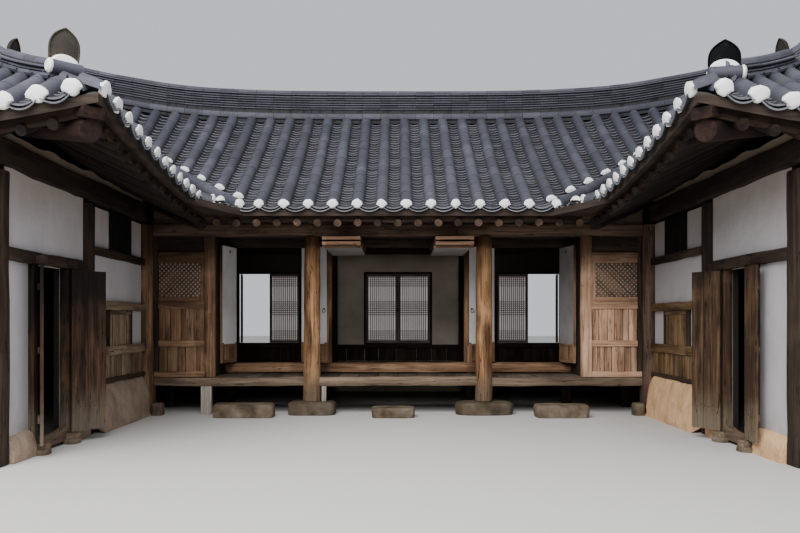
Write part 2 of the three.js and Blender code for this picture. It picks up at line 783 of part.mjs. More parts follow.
function outerWall() {
  const ends = [plan.endPostY + timber.corner + GAP, plan.rearY - timber.corner - GAP];
  const around = (half) => [plan.outerX - half, plan.outerX + half];
  const slab = box(around(plan.slab / 2), ends, [0, level.plate]);
  const foot = box(around(wallFootHalf), ends, [0, level.outerFoot]);
  const rearCorner = box([0, FAR], [plan.rearY - wallFootHalf - GAP, FAR], [-10, FAR]);
  return cut(join(slab, foot), rearCorner);
}

function endWall() {
  const ends = [3700 + GAP, plan.outerX - wallFootHalf - GAP];
  const slabY = [plan.endPostY - plan.slab / 2, plan.endPostY + plan.slab / 2];
  const footY = [plan.endPostY - wallFootHalf, plan.endPostY + timber.corner];
  return join(box(ends, slabY, [0, level.plate]), box(ends, footY, [0, level.outerFoot]));
}

// A casing with its two lattice leaves: one shut, the other turned outwards.
function rearWindow({ x, half, openSide, turn }) {
  const { rim, within, out, leaf, pivot, knuckleIn } = casement;
  const [low, high] = [level.windowLow + GAP, level.windowHigh - GAP];
  const caseY = [plan.rearY - within, plan.rearY + out];
  const whole = box([x - half + GAP, x + half - GAP], caseY, [low, high]);
  const clear = box([x - half + rim, x + half - rim], [0, FAR], [low + rim, high - rim]);
  const casing = cut(whole, clear);
  const leafY = leaf.map((y) => plan.rearY + y);
  const leafZ = [low + rim - TENON, high - rim + TENON];
  const leaves = [-1, 1].map((side) => {
    const hinge = x + side * (half - rim);
    const meet = x + side * 1;
    const across = [hinge + side * TENON, meet].sort((a, b) => a - b);
    const shut = box(across, leafY, leafZ);
    if (side !== openSide) return shut;
    const angle = THREE.MathUtils.degToRad(turn) * side;
    const pivotY = plan.rearY + pivot;
    return shut.translate(-hinge, -pivotY, 0).rotateZ(-angle).translate(hinge, pivotY, 0);
  });
  const knuckles = openSide === 0 ? [] : [leafZ[0] + knuckleIn, leafZ[1] - knuckleIn].map((z) => {
    const hinge = x + openSide * (half - rim);
    return box([hinge - 14, hinge + 14], [plan.rearY + 20, plan.rearY + 62], [z - 30, z + 30]);
  });
  return join(casing, ...leaves, ...knuckles);
}

// The fixed halves of a leaf's hinges, above and below each knuckle.
function hingeSeats(xs) {
  const y = [hallDoor.hingeY - 6, hallDoor.hingeY + 15];
  return knuckleZs.flatMap((z) => [
    box(xs, y, [z + knuckle.half + GAP, z + knuckle.half + 15]),
    box(xs, y, [z - knuckle.half - 15, z - knuckle.half - GAP]),
  ]);
}

function innerFrame() {
  const { y, foot, posts, panel, panelY, lintelEnd, stubXs, stubHalf, stubY, sill } = hallFrame;
  const round = log([-sill.end, sill.y, sill.z], [sill.end, sill.y, sill.z], sill.radius, 10);
  const sillY = [sill.y - sill.radius, sill.y + sill.radius];
  const square = box([-FAR, FAR], sillY, [level.veranda - 2, level.sillTop]);
  const lintel = box([-lintelEnd, lintelEnd], y, [level.lintel, level.lintelTop]);
  const parts = [clip(round, square), lintel];
  const standing = [foot, level.lintel + TENON];
  for (const side of [-1, 1]) {
    const span = (a, b) => [Math.min(side * a, side * b), Math.max(side * a, side * b)];
    for (const ends of posts) parts.push(box(span(...ends), y, standing));
    parts.push(box(span(...panel), panelY, standing));
    for (const x of stubXs) parts.push(box(span(x - stubHalf, x + stubHalf), stubY, [0, foot]));
    parts.push(...hingeSeats(span(hallDoor.innerX - 12, hallDoor.innerX + 2)));
    parts.push(...hingeSeats(span(hallDoor.outerX - 2, hallDoor.outerX + 12)));
  }
  return join(...parts);
}

function innerWall() {
  const reach = 3500;
  const y = hallFrame.panelY;
  const upper = box([-reach, reach], y, [level.lintelTop + GAP, 3800]);
  const sides = [-1, 1].map((side) => {
    const xs = [side * (hallFrame.lintelEnd + GAP), side * reach].sort((a, b) => a - b);
    return box(xs, y, [level.sillTop + GAP, level.lintelTop + 10]);
  });
  return cut(join(upper, ...sides), moved(mainRoof, 0, 0, -GAP));
}

function column() {
  const shaft = new THREE.CylinderGeometry(108, 122, level.frontBeam - level.plinth - GAP, 12);
  shaft.rotateX(Math.PI / 2);
  shaft.translate(plan.columnX, 0, (level.frontBeam + level.plinth + GAP) / 2);
  const slot = box([0, 3000], [-50 - GAP, 50 + GAP], [level.beamUnder - GAP, level.beamTop + GAP]);
  return cut(shaft, slot);
}

function plinth(x, halfWidth) {
  const outline = [
    [-halfWidth, 0],
    [halfWidth, 0],
    [halfWidth * 0.96, level.plinth * 0.7],
    [halfWidth * 0.8, level.plinth],
    [-halfWidth * 0.82, level.plinth],
    [-halfWidth * 0.98, level.plinth * 0.6],
  ];
  return sectionAlongY(outline, [-230, 230]).translate(x, 0, 0);
}

function floorBeam() {
  const end = plan.cornerX - GAP;
  const beam = box([-end, end], [-50, 50], [level.beamUnder, level.beamTop]);
  const legs = [
    box([-2750, -2600], [-45, 40], [0, level.beamUnder + TENON]),
    box([-1065, -1000], [-45, 40], [level.plinth + GAP, level.beamUnder + TENON]),
  ];
  return join(beam, ...legs);
}

function stepStone([x0, x1], height) {
  const outline = [
    [x0, 0],
    [x1, 0],
    [x1 - 20, height * 0.8],
    [x1 - 60, height],
    [x0 + 50, height],
    [x0 + 10, height * 0.7],
  ];
  return sectionAlongY(outline, [-520, -170]);
}

function verandaFloor() {
  const boards = box([-plan.cornerX + GAP, plan.cornerX - GAP], [50 + GAP, 820 - GAP], [455, level.veranda]);
  const notches = [-plan.columnX, plan.columnX].map((x) => log([x, 0, 400], [x, 0, 600], 126, 12));
  return cut(boards, ...notches);
}

function hallFloor() {
  const top = level.hallFloor;
  const boardY = [hallFrame.sill.y + hallFrame.sill.radius + GAP, plan.rearY - plan.slab / 2 - GAP];
  const board = box([-hallFrame.sill.end, hallFrame.sill.end], boardY, [480, top]);
  return cut(board, box([-FAR, FAR], [plan.rearY - wallFootHalf - GAP, FAR], [0, level.rearFoot]));
}

// A boarded screen beside the veranda, with its vent and its return wall.
function partition() {
  const top = level.frontBeam;
  const front = box([2550, plan.cornerX - GAP], [-40, 40], [level.beamTop + GAP, top]);
  const vent = box([2760, 3340], [-200, 200], [1633, 2109]);
  const side = box([2600, 2650], [30, 865 - GAP], [level.beamTop + GAP, top]);
  const sillEnd = box([2500, 2700], [820 - GAP, 900], [0, level.sillTop + GAP]);
  return join(cut(front, vent), cut(side, sillEnd));
}

function mudBase() {
  const outline = [
    [3385, 0],
    [3660, 0],
    [3660, 540],
    [3500, 540],
    [3462, 420],
    [3410, 180],
  ];
  return sectionAlongY(outline, [plan.midPostY + timber.corner + GAP, -105 - GAP]);
}

function courtFrame(door) {
  const postZ = [0, level.plate];
  const posts = [
    box([plan.cornerX, 3620], [-105, 115], postZ),
    ...[plan.midPostY, plan.endPostY].map((y) =>
      box([3500, 3700], [y - timber.corner, y + timber.corner], postZ)),
  ];
  const bayOne = [plan.midPostY + 100, -100];
  const railX = [3500, plan.wallX - GAP];
  const rails = courtRails.map((z) => box(railX, bayOne, z));
  const infill = [
    box([3525, 3555], bayOne, [590, 890]),
    box([3515, 3545], [-1430, -630], [990, 1440]),
    box([3505, 3555], [-650, -610], [990, 1440]),
    box([3505, 3555], [-1450, -1410], [990, 1440]),
    box([3520, 3555], [-1340, -600], [2160, level.plate]),
  ];
  const bayTwo = [plan.endPostY + 100, plan.midPostY - 100];
  const jambX = [3500, 3600];
  const lintel = box(jambX, bayTwo, [doorLintel.low, doorLintel.high]);
  const jambZ = [0, doorLintel.low + 10];
  const jambs = [
    box(jambX, [door.farY, door.farY + jambWidth], jambZ),
    box(jambX, [door.nearY - jambWidth, door.nearY], jambZ),
  ];
  const dip = [
    [door.nearY - threshold.lap, threshold.foot],
    [door.farY + threshold.lap, threshold.foot],
    [door.farY + threshold.lap, threshold.far],
    [(door.farY + door.nearY) / 2, threshold.middle],
    [door.nearY - threshold.lap, threshold.near],
  ];
  const shape = new THREE.Shape(dip.map(([y, z]) => new THREE.Vector2(y, z)));
  const step = new THREE.ExtrudeGeometry(shape, { depth: jambX[1] - jambX[0], bevelEnabled: false });
  step.rotateX(Math.PI / 2).rotateZ(Math.PI / 2).translate(jambX[0], 0, 0);
  const pivots = [door.farY + 10, door.nearY - 10].flatMap((y) => [
    box([3400, 3510], [y - 60, y + 60], [0, plank.bottom - 10]),
    box([3425, 3510], [y - 45, y + 45], [plank.top + 10, 1940]),
  ]);
  return join(...posts, ...rails, ...infill, lintel, ...jambs, step, ...pivots);
}

function doorWall(door) {
  const span = [plan.endPostY + timber.corner + GAP, plan.midPostY - timber.corner - GAP];
  const slab = box([plan.wallX, plan.wallX + plan.slab], span, [0, 2710 - GAP]);
  const hole = box([3000, 4000], [door.nearY, door.farY], [-10, doorLintel.low]);
  const frameX = [3000, 3600 + GAP];
  const jambZ = [-10, doorLintel.low + 10];
  const frame = [
    box(frameX, [-3900, -2100], [doorLintel.low - GAP, doorLintel.high + GAP]),
    box(frameX, [door.farY - 5, door.farY + jambWidth + GAP], jambZ),
    box(frameX, [door.nearY - jambWidth - GAP, door.nearY + 5], jambZ),
  ];
  return cut(slab, hole, ...frame);
}

function panelWall() {
  const ys = [plan.midPostY + timber.corner + GAP, -105 - GAP];
  const slab = box([plan.wallX, plan.wallX + plan.slab], ys, [540 + GAP, level.plate]);
  const slats = box([3000, 4000], [-1400, -660], [1030, 1410]);
  return cut(slab, slats, box([3000, 3620 + GAP], [-106, 200], [0, FAR]));
}

// A plank leaf in its shut place, its pivot on the line y = hinge.
function plankLeaf(hinge, width, towards, openFromFlat) {
  const body = box([-plank.thick / 2, plank.thick / 2], [-plank.tail, width], [plank.bottom, plank.top]);
  const pins = [
    [plank.bottom - 10 + GAP, plank.bottom + TENON],
    [plank.top - TENON, plank.top + 10 - GAP],
  ].map(([low, high]) => log([0, 0, low], [0, 0, high], plank.pin, 10));
  const leaf = join(body, ...pins);
  const away = towards < 0 ? -1 : 1;
  const turned = leaf.rotateZ(away < 0 ? Math.PI : 0);
  const open = THREE.MathUtils.degToRad(180 - openFromFlat) * -away;
  return turned.rotateZ(-open).translate(plank.pivotX, hinge, 0);
}

// A papered leaf, hinged at its court-side corner.
function hallLeaf(hingeX, towards, open) {
  const leaf = box([5, hallDoor.width], [5, 5 + hallDoor.thick], [hallDoor.bottom, hallDoor.top]);
  const knuckles = knuckleZs.map((z) =>
    log([0, 0, z - knuckle.half], [0, 0, z + knuckle.half], knuckle.radius, 8));
  const straps = knuckleZs.map((z) => box([0, 20], [-2, 12], [z - 30, z + 30]));
  const whole = join(leaf, ...knuckles, ...straps);
  const placed = towards < 0 ? mirror(whole) : whole;
  const turn = THREE.MathUtils.degToRad(open) * (towards < 0 ? 1 : -1);
  return placed.rotateZ(turn).translate(hingeX, hallDoor.hingeY, 0);
}

// Two hall leaves folded together, lifted level and hung under the eave.
function liftedDoors() {
  const lower = box(lifted.x, lifted.y, lifted.lower);
  const upper = box(lifted.x, lifted.y, lifted.upper);
  const hinges = lifted.hingeXs.map((x) =>
    box([x - 30, x + 30], [825, 860], [2300, level.lintel - 30]));
  const ties = lifted.tieYs.map((y) => box([960, 998], [y - 40, y + 40], [2300, 2380]));
  const rodX = 3 * rafter.pitch;
  const { rodY } = lifted;
  const rod = log([rodX, rodY, 2270], [rodX, rodY, 2760], 9, 6);
  const foot = box([470, 1000], [rodY - 14, rodY + 14], [2262, 2288]);
  const keeper = box([600, 640], [855, 930], [2380, level.lintel - GAP]);
  const all = join(lower, upper, ...hinges, ...ties, rod, foot, keeper);
  return cut(all, moved(frontBeamPiece, 0, 0, -GAP));
}

const frontBeamPiece = frontBeam();

const house = new THREE.Group();

function add(name, geometry, finish, mirrored = false) {
  const [color, roughness] = colours[finish];
  const material = new THREE.MeshStandardMaterial({ color, roughness, metalness: 0 });
  const mesh = new THREE.Mesh(cleaned(geometry), material);
  mesh.name = name;
  if (mirrored) mesh.scale.x = -1;
  house.add(mesh);
}

function addPair(name, geometry, finish) {
  add(`${name}_left`, geometry, finish, true);
  add(`${name}_right`, geometry, finish);
}

add("main_roof", mainRoof, "tile");
addPair("wing_roof", wingRoof, "tile");
add("main_ridge", mainRidge(), "tile");
addPair("wing_ridge", wingRidge(), "tile");
add("front_beam", frontBeamPiece, "timber");
addPair("court_eave", courtEave(), "timber");
addPair("outer_frame", outerFrame(), "timber");
addPair("end_frame", endFrame(), "timber");
add("rear_frame", rearFrame(), "timber");
add("rear_wall", rearWall(), "plaster");
addPair("outer_wall", outerWall(), "plaster");
addPair("end_wall", endWall(), "plaster");
addPair("panel_wall", panelWall(), "plaster");
addPair("earth_base", mudBase(), "mud");
add("inner_frame", innerFrame(), "timber");
add("inner_wall", innerWall(), "plaster");
addPair("partition", partition(), "plank");
addPair("front_column", column(), "column");
add("plinth_stone_left", plinth(-plan.columnX, 330), "stone");
add("plinth_stone_right", plinth(plan.columnX, 405), "stone");
add("floor_beam", floorBeam(), "weathered");
add("veranda_floor", verandaFloor(), "weathered");
add("hall_floor", hallFloor(), "weathered");
add("step_stone_left", stepStone([-2490, -1670], 180), "stone");
add("step_stone_centre", stepStone([-354, 227], 135), "stone");
add("step_stone_right", stepStone([1850, 2570], 170), "stone");
addPair("lifted_doors", liftedDoors(), "paper");
for (const [place, window] of Object.entries(rearWindows)) {
  add(`rear_window_${place}`, rearWindow(window), "paper");
}

for (const side of ["left", "right"]) {
  const door = doorway[side];
  const mirrored = side === "left";
  add(`court_frame_${side}`, courtFrame(door), "timber", mirrored);
  add(`door_wall_${side}`, doorWall(door), "plaster", mirrored);
  const farLeaf = plankLeaf(door.farY + 10, door.farLeaf, -1, door.farTurn);
  const nearLeaf = plankLeaf(door.nearY - 10, door.nearLeaf, 1, door.nearTurn);
  add(`wing_door_${side}_far`, farLeaf, "plank", mirrored);
  add(`wing_door_${side}_near`, nearLeaf, "plank", mirrored);
  add(`hall_door_${side}_inner`, hallLeaf(hallDoor.innerX, 1, hallDoor.innerOpen), "paper", mirrored);
  add(`hall_door_${side}_outer`, hallLeaf(hallDoor.outerX, -1, hallDoor.outerOpen), "paper", mirrored);
}

// The origin is below the middle of the plan.
house.position.y = -(roof.endEaveY + roof.rearEaveY) / 2;

export default house;
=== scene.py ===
# An old tile-roofed timber house round three sides of a court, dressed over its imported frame.
# Metres, +Z up. Places are measured from the line of the front columns, and every piece is
# shifted onto the frame as its mesh is made.
import math
import random

import bmesh
import bpy
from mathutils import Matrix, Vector, noise


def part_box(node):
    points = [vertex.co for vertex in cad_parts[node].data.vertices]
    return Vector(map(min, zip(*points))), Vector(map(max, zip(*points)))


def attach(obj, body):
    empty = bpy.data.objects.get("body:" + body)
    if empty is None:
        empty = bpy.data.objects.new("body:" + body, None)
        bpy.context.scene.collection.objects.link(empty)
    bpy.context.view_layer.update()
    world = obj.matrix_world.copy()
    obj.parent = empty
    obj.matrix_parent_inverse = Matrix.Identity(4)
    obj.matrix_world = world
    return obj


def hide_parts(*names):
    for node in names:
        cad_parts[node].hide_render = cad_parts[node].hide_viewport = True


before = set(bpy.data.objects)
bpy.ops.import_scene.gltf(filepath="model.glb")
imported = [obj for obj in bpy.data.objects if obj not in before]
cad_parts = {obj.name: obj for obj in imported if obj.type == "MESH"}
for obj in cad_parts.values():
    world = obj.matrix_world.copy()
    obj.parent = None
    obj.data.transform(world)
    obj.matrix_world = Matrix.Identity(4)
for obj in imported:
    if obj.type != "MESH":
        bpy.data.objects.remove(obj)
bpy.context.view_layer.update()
columnLow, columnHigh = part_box("front_column_left")
frontY = (columnLow.y + columnHigh.y) / 2
dice = random.Random(1925)
noise.seed_set(5)  # Blender would start its noise from the clock, and each run would differ
sides = ((-1, "left"), (1, "right"))


def makeCamera():
    view = {"place": (0.0, -11.0, 1.29), "lens": 35.4, "shiftX": 0.0025, "shiftY": 0.069}
    data = bpy.data.cameras.new("courtView")
    data.lens = view["lens"]
    data.sensor_width = 36
    data.shift_x = view["shiftX"]
    data.shift_y = view["shiftY"]
    camera = bpy.data.objects.new("courtView", data)
    x, y, z = view["place"]
    camera.location = (x, y + frontY, z)
    camera.rotation_euler = (math.pi / 2, 0, 0)
    bpy.context.collection.objects.link(camera)
    bpy.context.scene.camera = camera


def makeLight():
    studio = {"sky": (0.86, 0.89, 0.95), "skyStrength": 0.8, "keyPower": 2800, "keySize": 10.0,
              "keyPlace": (-3.0, -11.0, 9.5), "keyAim": (0.0, 0.0, 1.0)}
    world = bpy.data.worlds.new("studioSky")
    world.use_nodes = True
    background = world.node_tree.nodes["Background"]
    background.inputs["Color"].default_value = (*studio["sky"], 1)
    background.inputs["Strength"].default_value = studio["skyStrength"]
    bpy.context.scene.world = world
    data = bpy.data.lights.new("softKey", "AREA")
    data.energy = studio["keyPower"]
    data.size = studio["keySize"]
    key = bpy.data.objects.new("softKey", data)
    key.location = studio["keyPlace"]
    aim = Vector(studio["keyAim"]) - Vector(studio["keyPlace"])
    key.rotation_euler = aim.to_track_quat("-Z", "Y").to_euler()
    bpy.context.collection.objects.link(key)


makeCamera()
makeLight()
print("camera and light are set")


# Wiring of one material: short calls for the nodes that every finish uses.
class Wiring:
    def __init__(self, name):
        self.material = bpy.data.materials.new(name)
        self.material.use_nodes = True
        self.tree = self.material.node_tree
        self.shader = self.tree.nodes["Principled BSDF"]
        self.place = self.tree.nodes.new("ShaderNodeTexCoord").outputs["Object"]

    def link(self, value, socket):
        if isinstance(value, bpy.types.NodeSocket):
            self.tree.links.new(value, socket)
        elif isinstance(value, tuple) and len(socket.default_value) == 4:
            socket.default_value = (*value, 1)
        elif value is not None:
            socket.default_value = value

    def attribute(self, name, output="Fac"):
        node = self.tree.nodes.new("ShaderNodeAttribute")
        node.attribute_name = name
        return node.outputs[output]

    def stretch(self, vector, scale):
        node = self.tree.nodes.new("ShaderNodeVectorMath")
        node.operation = "MULTIPLY"
        self.link(vector, node.inputs[0])
        node.inputs[1].default_value = scale
        return node.outputs[0]

    def cloud(self, scale, detail=4.0, vector=None, roughness=0.55):
        node = self.tree.nodes.new("ShaderNodeTexNoise")
        self.link(vector or self.place, node.inputs["Vector"])
        node.inputs["Scale"].default_value = scale
        node.inputs["Detail"].default_value = detail
        node.inputs["Roughness"].default_value = roughness
        return node.outputs["Fac"]

    def cells(self, scale, vector=None, feature="F1"):
        node = self.tree.nodes.new("ShaderNodeTexVoronoi")
        node.feature = feature
        self.link(vector or self.place, node.inputs["Vector"])
        node.inputs["Scale"].default_value = scale
        return node.outputs["Distance"]

    def ramp(self, value, *stops):
        node = self.tree.nodes.new("ShaderNodeValToRGB")
        self.link(value, node.inputs["Fac"])
        elements = node.color_ramp.elements
        while len(elements) < len(stops):
            elements.new(0.5)
        for element, (position, colour) in zip(elements, stops):
            element.position = position
            element.color = (*colour, 1) if isinstance(colour, tuple) else (colour, colour, colour, 1)
        return node.outputs["Color"]

    def mix(self, share, first, second, mode="MIX"):
        node = self.tree.nodes.new("ShaderNodeMix")
        node.data_type = "RGBA"
        node.blend_type = mode
        node.clamp_factor = True
        self.link(share, node.inputs[0])
        self.link(first, node.inputs[6])
        self.link(second, node.inputs[7])
        return node.outputs[2]

    def sum(self, first, second, kind="ADD"):
        node = self.tree.nodes.new("ShaderNodeMath")
        node.operation = kind
        self.link(first, node.inputs[0])
        self.link(second, node.inputs[1])
        return node.outputs[0]

    def times(self, value, factor):
        return self.sum(value, factor, "MULTIPLY")

    def part(self, vector, axis):
        node = self.tree.nodes.new("ShaderNodeSeparateXYZ")
        self.link(vector, node.inputs[0])
        return node.outputs[axis]

    # How far a face looks along an axis.
    def facing(self, axis):
        geometry = self.tree.nodes.new("ShaderNodeNewGeometry")
        return self.part(geometry.outputs["Normal"], axis)

    def between(self, value, low, high):
        node = self.tree.nodes.new("ShaderNodeMapRange")
        node.interpolation_type = "SMOOTHSTEP"
        self.link(value, node.inputs["Value"])
        node.inputs["From Min"].default_value = low
        node.inputs["From Max"].default_value = high
        return node.outputs["Result"]

    # Lays another colour over the first, more of it as the value goes from low to high.
    def over(self, colour, other, value, low, high, share=1.0):
        amount = self.between(value, low, high)
        if share < 1.0:
            amount = self.times(amount, share)
        return self.mix(amount, colour, other)

    def bump(self, height, strength, distance, under=None):
        node = self.tree.nodes.new("ShaderNodeBump")
        node.inputs["Strength"].default_value = strength
        node.inputs["Distance"].default_value = distance
        self.link(height, node.inputs["Height"])
        if under is not None:
            self.link(under, node.inputs["Normal"])
        return node.outputs["Normal"]

    def finish(self, colour, roughness, normal=None, shine=0.3):
        self.link(colour, self.shader.inputs["Base Color"])
        self.link(roughness, self.shader.inputs["Roughness"])
        self.shader.inputs["Specular IOR Level"].default_value = shine
        if normal is not None:
            self.link(normal, self.shader.inputs["Normal"])
        return self.material


def blend(first, second, share):
    return tuple(a + (b - a) * share for a, b in zip(first, second))


def dimmed(colour, share):
    return tuple(c * share for c in colour)


# Fired clay: blue-grey, each tile a little different, dusty in patches. The blue is partly the clay's own
# and partly painted reflection of a blue sky.
def clayFinish(name, dark, mid, pale, moss=(0.075, 0.085, 0.055), shine=0.35):
    w = Wiring(name)
    body = w.ramp(w.attribute("tone"), (0.0, dark), (0.55, mid), (1.0, pale))
    patches = w.between(w.cloud(2.2, 5), 0.5, 0.74)
    body = w.mix(w.times(patches, w.attribute("tone")), body, pale)
    speckle = w.cloud(55, 4)
    body = w.over(body, dark, speckle, 0.55, 0.8)
    body = w.over(body, moss, w.cloud(5.5, 6), 0.58, 0.72, 0.45)
    dry = w.ramp(w.cloud(14, 3), (0.3, 0.5), (0.7, 0.72))
    normal = w.bump(w.sum(speckle, w.cloud(160, 3)), 0.35, 0.004)
    return w.finish(body, dry, normal, shine)


# White lime, streaked by rain.
def limeFinish(name, pale, stain, amount):
    w = Wiring(name)
    streak = w.cloud(9, 6, w.stretch(w.place, (1.0, 1.0, 0.35)))
    colour = w.over(pale, stain, streak, 0.62 - amount, 0.86 - amount)
    pits = w.cloud(70, 5)
    colour = w.over(colour, stain, pits, 0.6, 0.78)
    return w.finish(colour, 0.9, w.bump(pits, 0.5, 0.006), 0.15)


# Old timber: fibres and checks follow the piece, worn paler where the tone says.
def timberFinish(name, dark, mid, pale, check, wear, footGrey=None, smokeAndShade=None, footTop=0.95):
    w = Wiring(name)
    grain = w.attribute("grain", "Vector")
    fibre = w.cloud(1.0, 8, w.stretch(grain, (1.4, 44.0, 44.0)), 0.62)
    fine = w.cloud(1.0, 6, w.stretch(grain, (3.5, 130.0, 130.0)), 0.6)
    figure = w.cloud(1.0, 4, w.stretch(grain, (0.7, 9.0, 9.0)))
    colour = w.ramp(figure, (0.30, blend(dark, mid, 0.55)), (0.50, mid), (0.70, blend(mid, pale, 0.75)))
    colour = w.over(colour, dark, fibre, 0.46, 0.64, 0.52)
    colour = w.over(colour, dark, fine, 0.40, 0.70, 0.30)
    colour = w.over(colour, pale, fibre, 0.44, 0.30, 0.45)
    colour = w.over(colour, pale, w.cloud(1.9, 5), 0.5, 0.72, wear)
    stain = w.cloud(1.0, 5, w.stretch(grain, (1.0, 6.0, 6.0)))
    colour = w.over(colour, dark, stain, 0.50, 0.66, 0.75)
    tone = w.ramp(w.attribute("tone"), (0.0, 0.45), (0.5, 0.95), (1.0, 1.5))
    colour = w.mix(1.0, colour, tone, "MULTIPLY")
    ragged = w.sum(w.part(w.place, 2), w.times(w.cloud(6, 4), 0.35))
    if footGrey is not None:
        colour = w.over(colour, footGrey, ragged, footTop, footTop - 0.53, 0.75)
    # Blackened between two heights: smoke, and painted shade under the eave and the beams.
    if smokeAndShade is not None:
        colour = w.over(colour, dimmed(dark, 0.5), ragged, *smokeAndShade, 0.82)
    split = w.cloud(1.0, 3, w.stretch(grain, (0.9, 17.0, 17.0)), 0.45)
    gap = w.between(w.sum(w.sum(split, 0.5, "SUBTRACT"), 0.0, "ABSOLUTE"), 0.011, 0.003)
    gap = w.times(gap, check)
    colour = w.mix(gap, colour, dimmed(dark, 0.25))
    height = w.sum(w.sum(fibre, fine), w.times(gap, 2.0), "SUBTRACT")
    return w.finish(colour, w.ramp(fine, (0.3, 0.68), (0.7, 0.9)), w.bump(height, 0.55, 0.006), 0.22)


# Lime plaster on the walls, stained under the eave and darker towards the foot. "outward" gives the axis and
# the
# direction of the limed face: the other faces are painted near-black, as painted shade of a dark room.
def plasterFinish(name, clean, stain, eaveStain=2.75, foot=(0.3, 0.27, 0.25), outward=None):
    w = Wiring(name)
    height = w.part(w.place, 2)
    colour = w.over(clean, dimmed(clean, 0.86), w.cloud(1.4, 6), 0.42, 0.72)
    ragged = w.sum(height, w.times(w.cloud(2.4, 6), 0.8))
    colour = w.over(colour, stain, ragged, eaveStain - 0.35, eaveStain + 0.5, 0.75)
    colour = w.over(colour, foot, ragged, 0.85, 0.35, 0.7)
    runs = w.cloud(1.0, 6, w.stretch(w.place, (16.0, 16.0, 1.1)))
    colour = w.over(colour, stain, runs, 0.58, 0.8, 0.3)
    if outward is not None:
        axis, direction = outward
        # Faces that do not face out are painted near-black: painted shade of a dark room.
        darkRoomShade = (0.022, 0.019, 0.016)
        colour = w.over(colour, darkRoomShade, w.facing(axis), 0.7 * direction, 0.3 * direction)
    trowel = w.cloud(7, 3)
    sand = w.cloud(140, 4)
    normal = w.bump(sand, 0.18, 0.002, w.bump(trowel, 0.4, 0.02))
    return w.finish(colour, 0.92, normal, 0.12)


# The rear wall: pale outside, dim and brownish towards the hall.
def rearWallFinish(name, outside, inside, shade):
    w = Wiring(name)
    towardsHall = w.between(w.facing(1), 0.2, -0.2)
    soft = w.cloud(1.4, 6)
    pale = w.over(outside, dimmed(outside, 0.86), soft, 0.42, 0.72)
    dim = w.over(inside, shade, soft, 0.35, 0.7)
    # The side bays and the top of the wall are painted near-black: painted shade of the dark rooms and the
    # ceiling, with smoke.
    aside = w.between(w.sum(w.part(w.place, 0), 0.0, "ABSOLUTE"), 1.05, 1.25)
    above = w.between(w.part(w.place, 2), 2.25, 2.65)
    smokeAndShade = w.sum(w.times(aside, 0.93), w.times(above, 0.8), "MAXIMUM")
    dim = w.mix(smokeAndShade, dim, (0.020, 0.017, 0.014))
    colour = w.mix(towardsHall, pale, dim)
    normal = w.bump(w.cloud(140, 4), 0.18, 0.002, w.bump(w.cloud(7, 3), 0.4, 0.02))
    return w.finish(colour, 0.92, normal, 0.12)


# Earth with straw and grit in it.
def earthFinish(name, body, shade, grit):
    w = Wiring(name)
    lump = w.cloud(5, 7)
    colour = w.over(shade, body, lump, 0.15, 0.62)
    crumbs = w.cloud(46, 5)
    colour = w.over(colour, grit, crumbs, 0.58, 0.72)
    normal = w.bump(crumbs, 0.6, 0.012, w.bump(lump, 0.8, 0.05))
    return w.finish(colour, 0.96, normal, 0.08)


# Rough stone with grains, paler dust and darker damp.
def stoneFinish(name, body, dark, pale):
    w = Wiring(name)
    lump = w.cloud(4.5, 7)
    colour = w.ramp(lump, (0.3, dark), (0.5, body), (0.72, pale))
    grains = w.cloud(90, 5)
    colour = w.over(colour, dark, grains, 0.6, 0.75)
    tone = w.ramp(w.attribute("tone"), (0.0, 0.4), (0.5, 1.0), (1.0, 1.6))
    colour = w.mix(1.0, colour, tone, "MULTIPLY")
    colour = w.over(colour, pale, w.cells(11), 0.12, 0.05, 0.5)
    normal = w.bump(grains, 0.5, 0.006, w.bump(lump, 0.9, 0.05))
    return w.finish(colour, 0.93, normal, 0.12)


# Mulberry paper, aged and a little slack.
def paperFinish(name, pale, aged, paintedGlow=0.0):
    w = Wiring(name)
    # The emission is painted light: the sheet glows as though daylight came through it.
    w.shader.inputs["Emission Color"].default_value = (*pale, 1)
    w.shader.inputs["Emission Strength"].default_value = paintedGlow  # daylight through the sheet
    colour = w.over(pale, aged, w.cloud(1.6, 5), 0.4, 0.75)
    fibres = w.cloud(1.0, 5, w.stretch(w.place, (40.0, 40.0, 9.0)))
    colour = w.over(colour, aged, fibres, 0.62, 0.8, 0.4)
    return w.finish(colour, 0.85, w.bump(w.sum(fibres, w.cloud(3, 3)), 0.25, 0.006), 0.15)


def ironFinish(name, body, rust):
    w = Wiring(name)
    colour = w.over(body, rust, w.cloud(35, 6), 0.45, 0.7)
    rough = w.ramp(w.cloud(60, 3), (0.3, 0.5), (0.7, 0.8))
    return w.finish(colour, rough, w.bump(w.cloud(90, 4), 0.4, 0.002), 0.4)


# The body of the roof: tile bed above, boards below, earth and plaster on the gables.
def roofBodyFinish(name):
    w = Wiring(name)
    facing = w.facing(2)
    boards = w.cloud(1.0, 6, w.stretch(w.place, (3.0, 3.0, 30.0)))
    below = w.ramp(boards, (0.3, (0.024, 0.018, 0.015)), (0.7, (0.060, 0.043, 0.033)))
    bed = w.ramp(w.cloud(12, 5), (0.3, (0.035, 0.036, 0.042)), (0.7, (0.07, 0.068, 0.07)))
    wall = w.ramp(w.cloud(3, 6), (0.3, (0.36, 0.34, 0.33)), (0.7, (0.52, 0.50, 0.50)))
    wall = w.over(below, wall, w.part(w.place, 2), 3.1, 3.25)
    colour = w.over(below, wall, facing, -0.5, -0.2)
    colour = w.over(colour, bed, facing, 0.2, 0.5)
    return w.finish(colour, 0.9, w.bump(w.cloud(60, 4), 0.4, 0.006), 0.15)
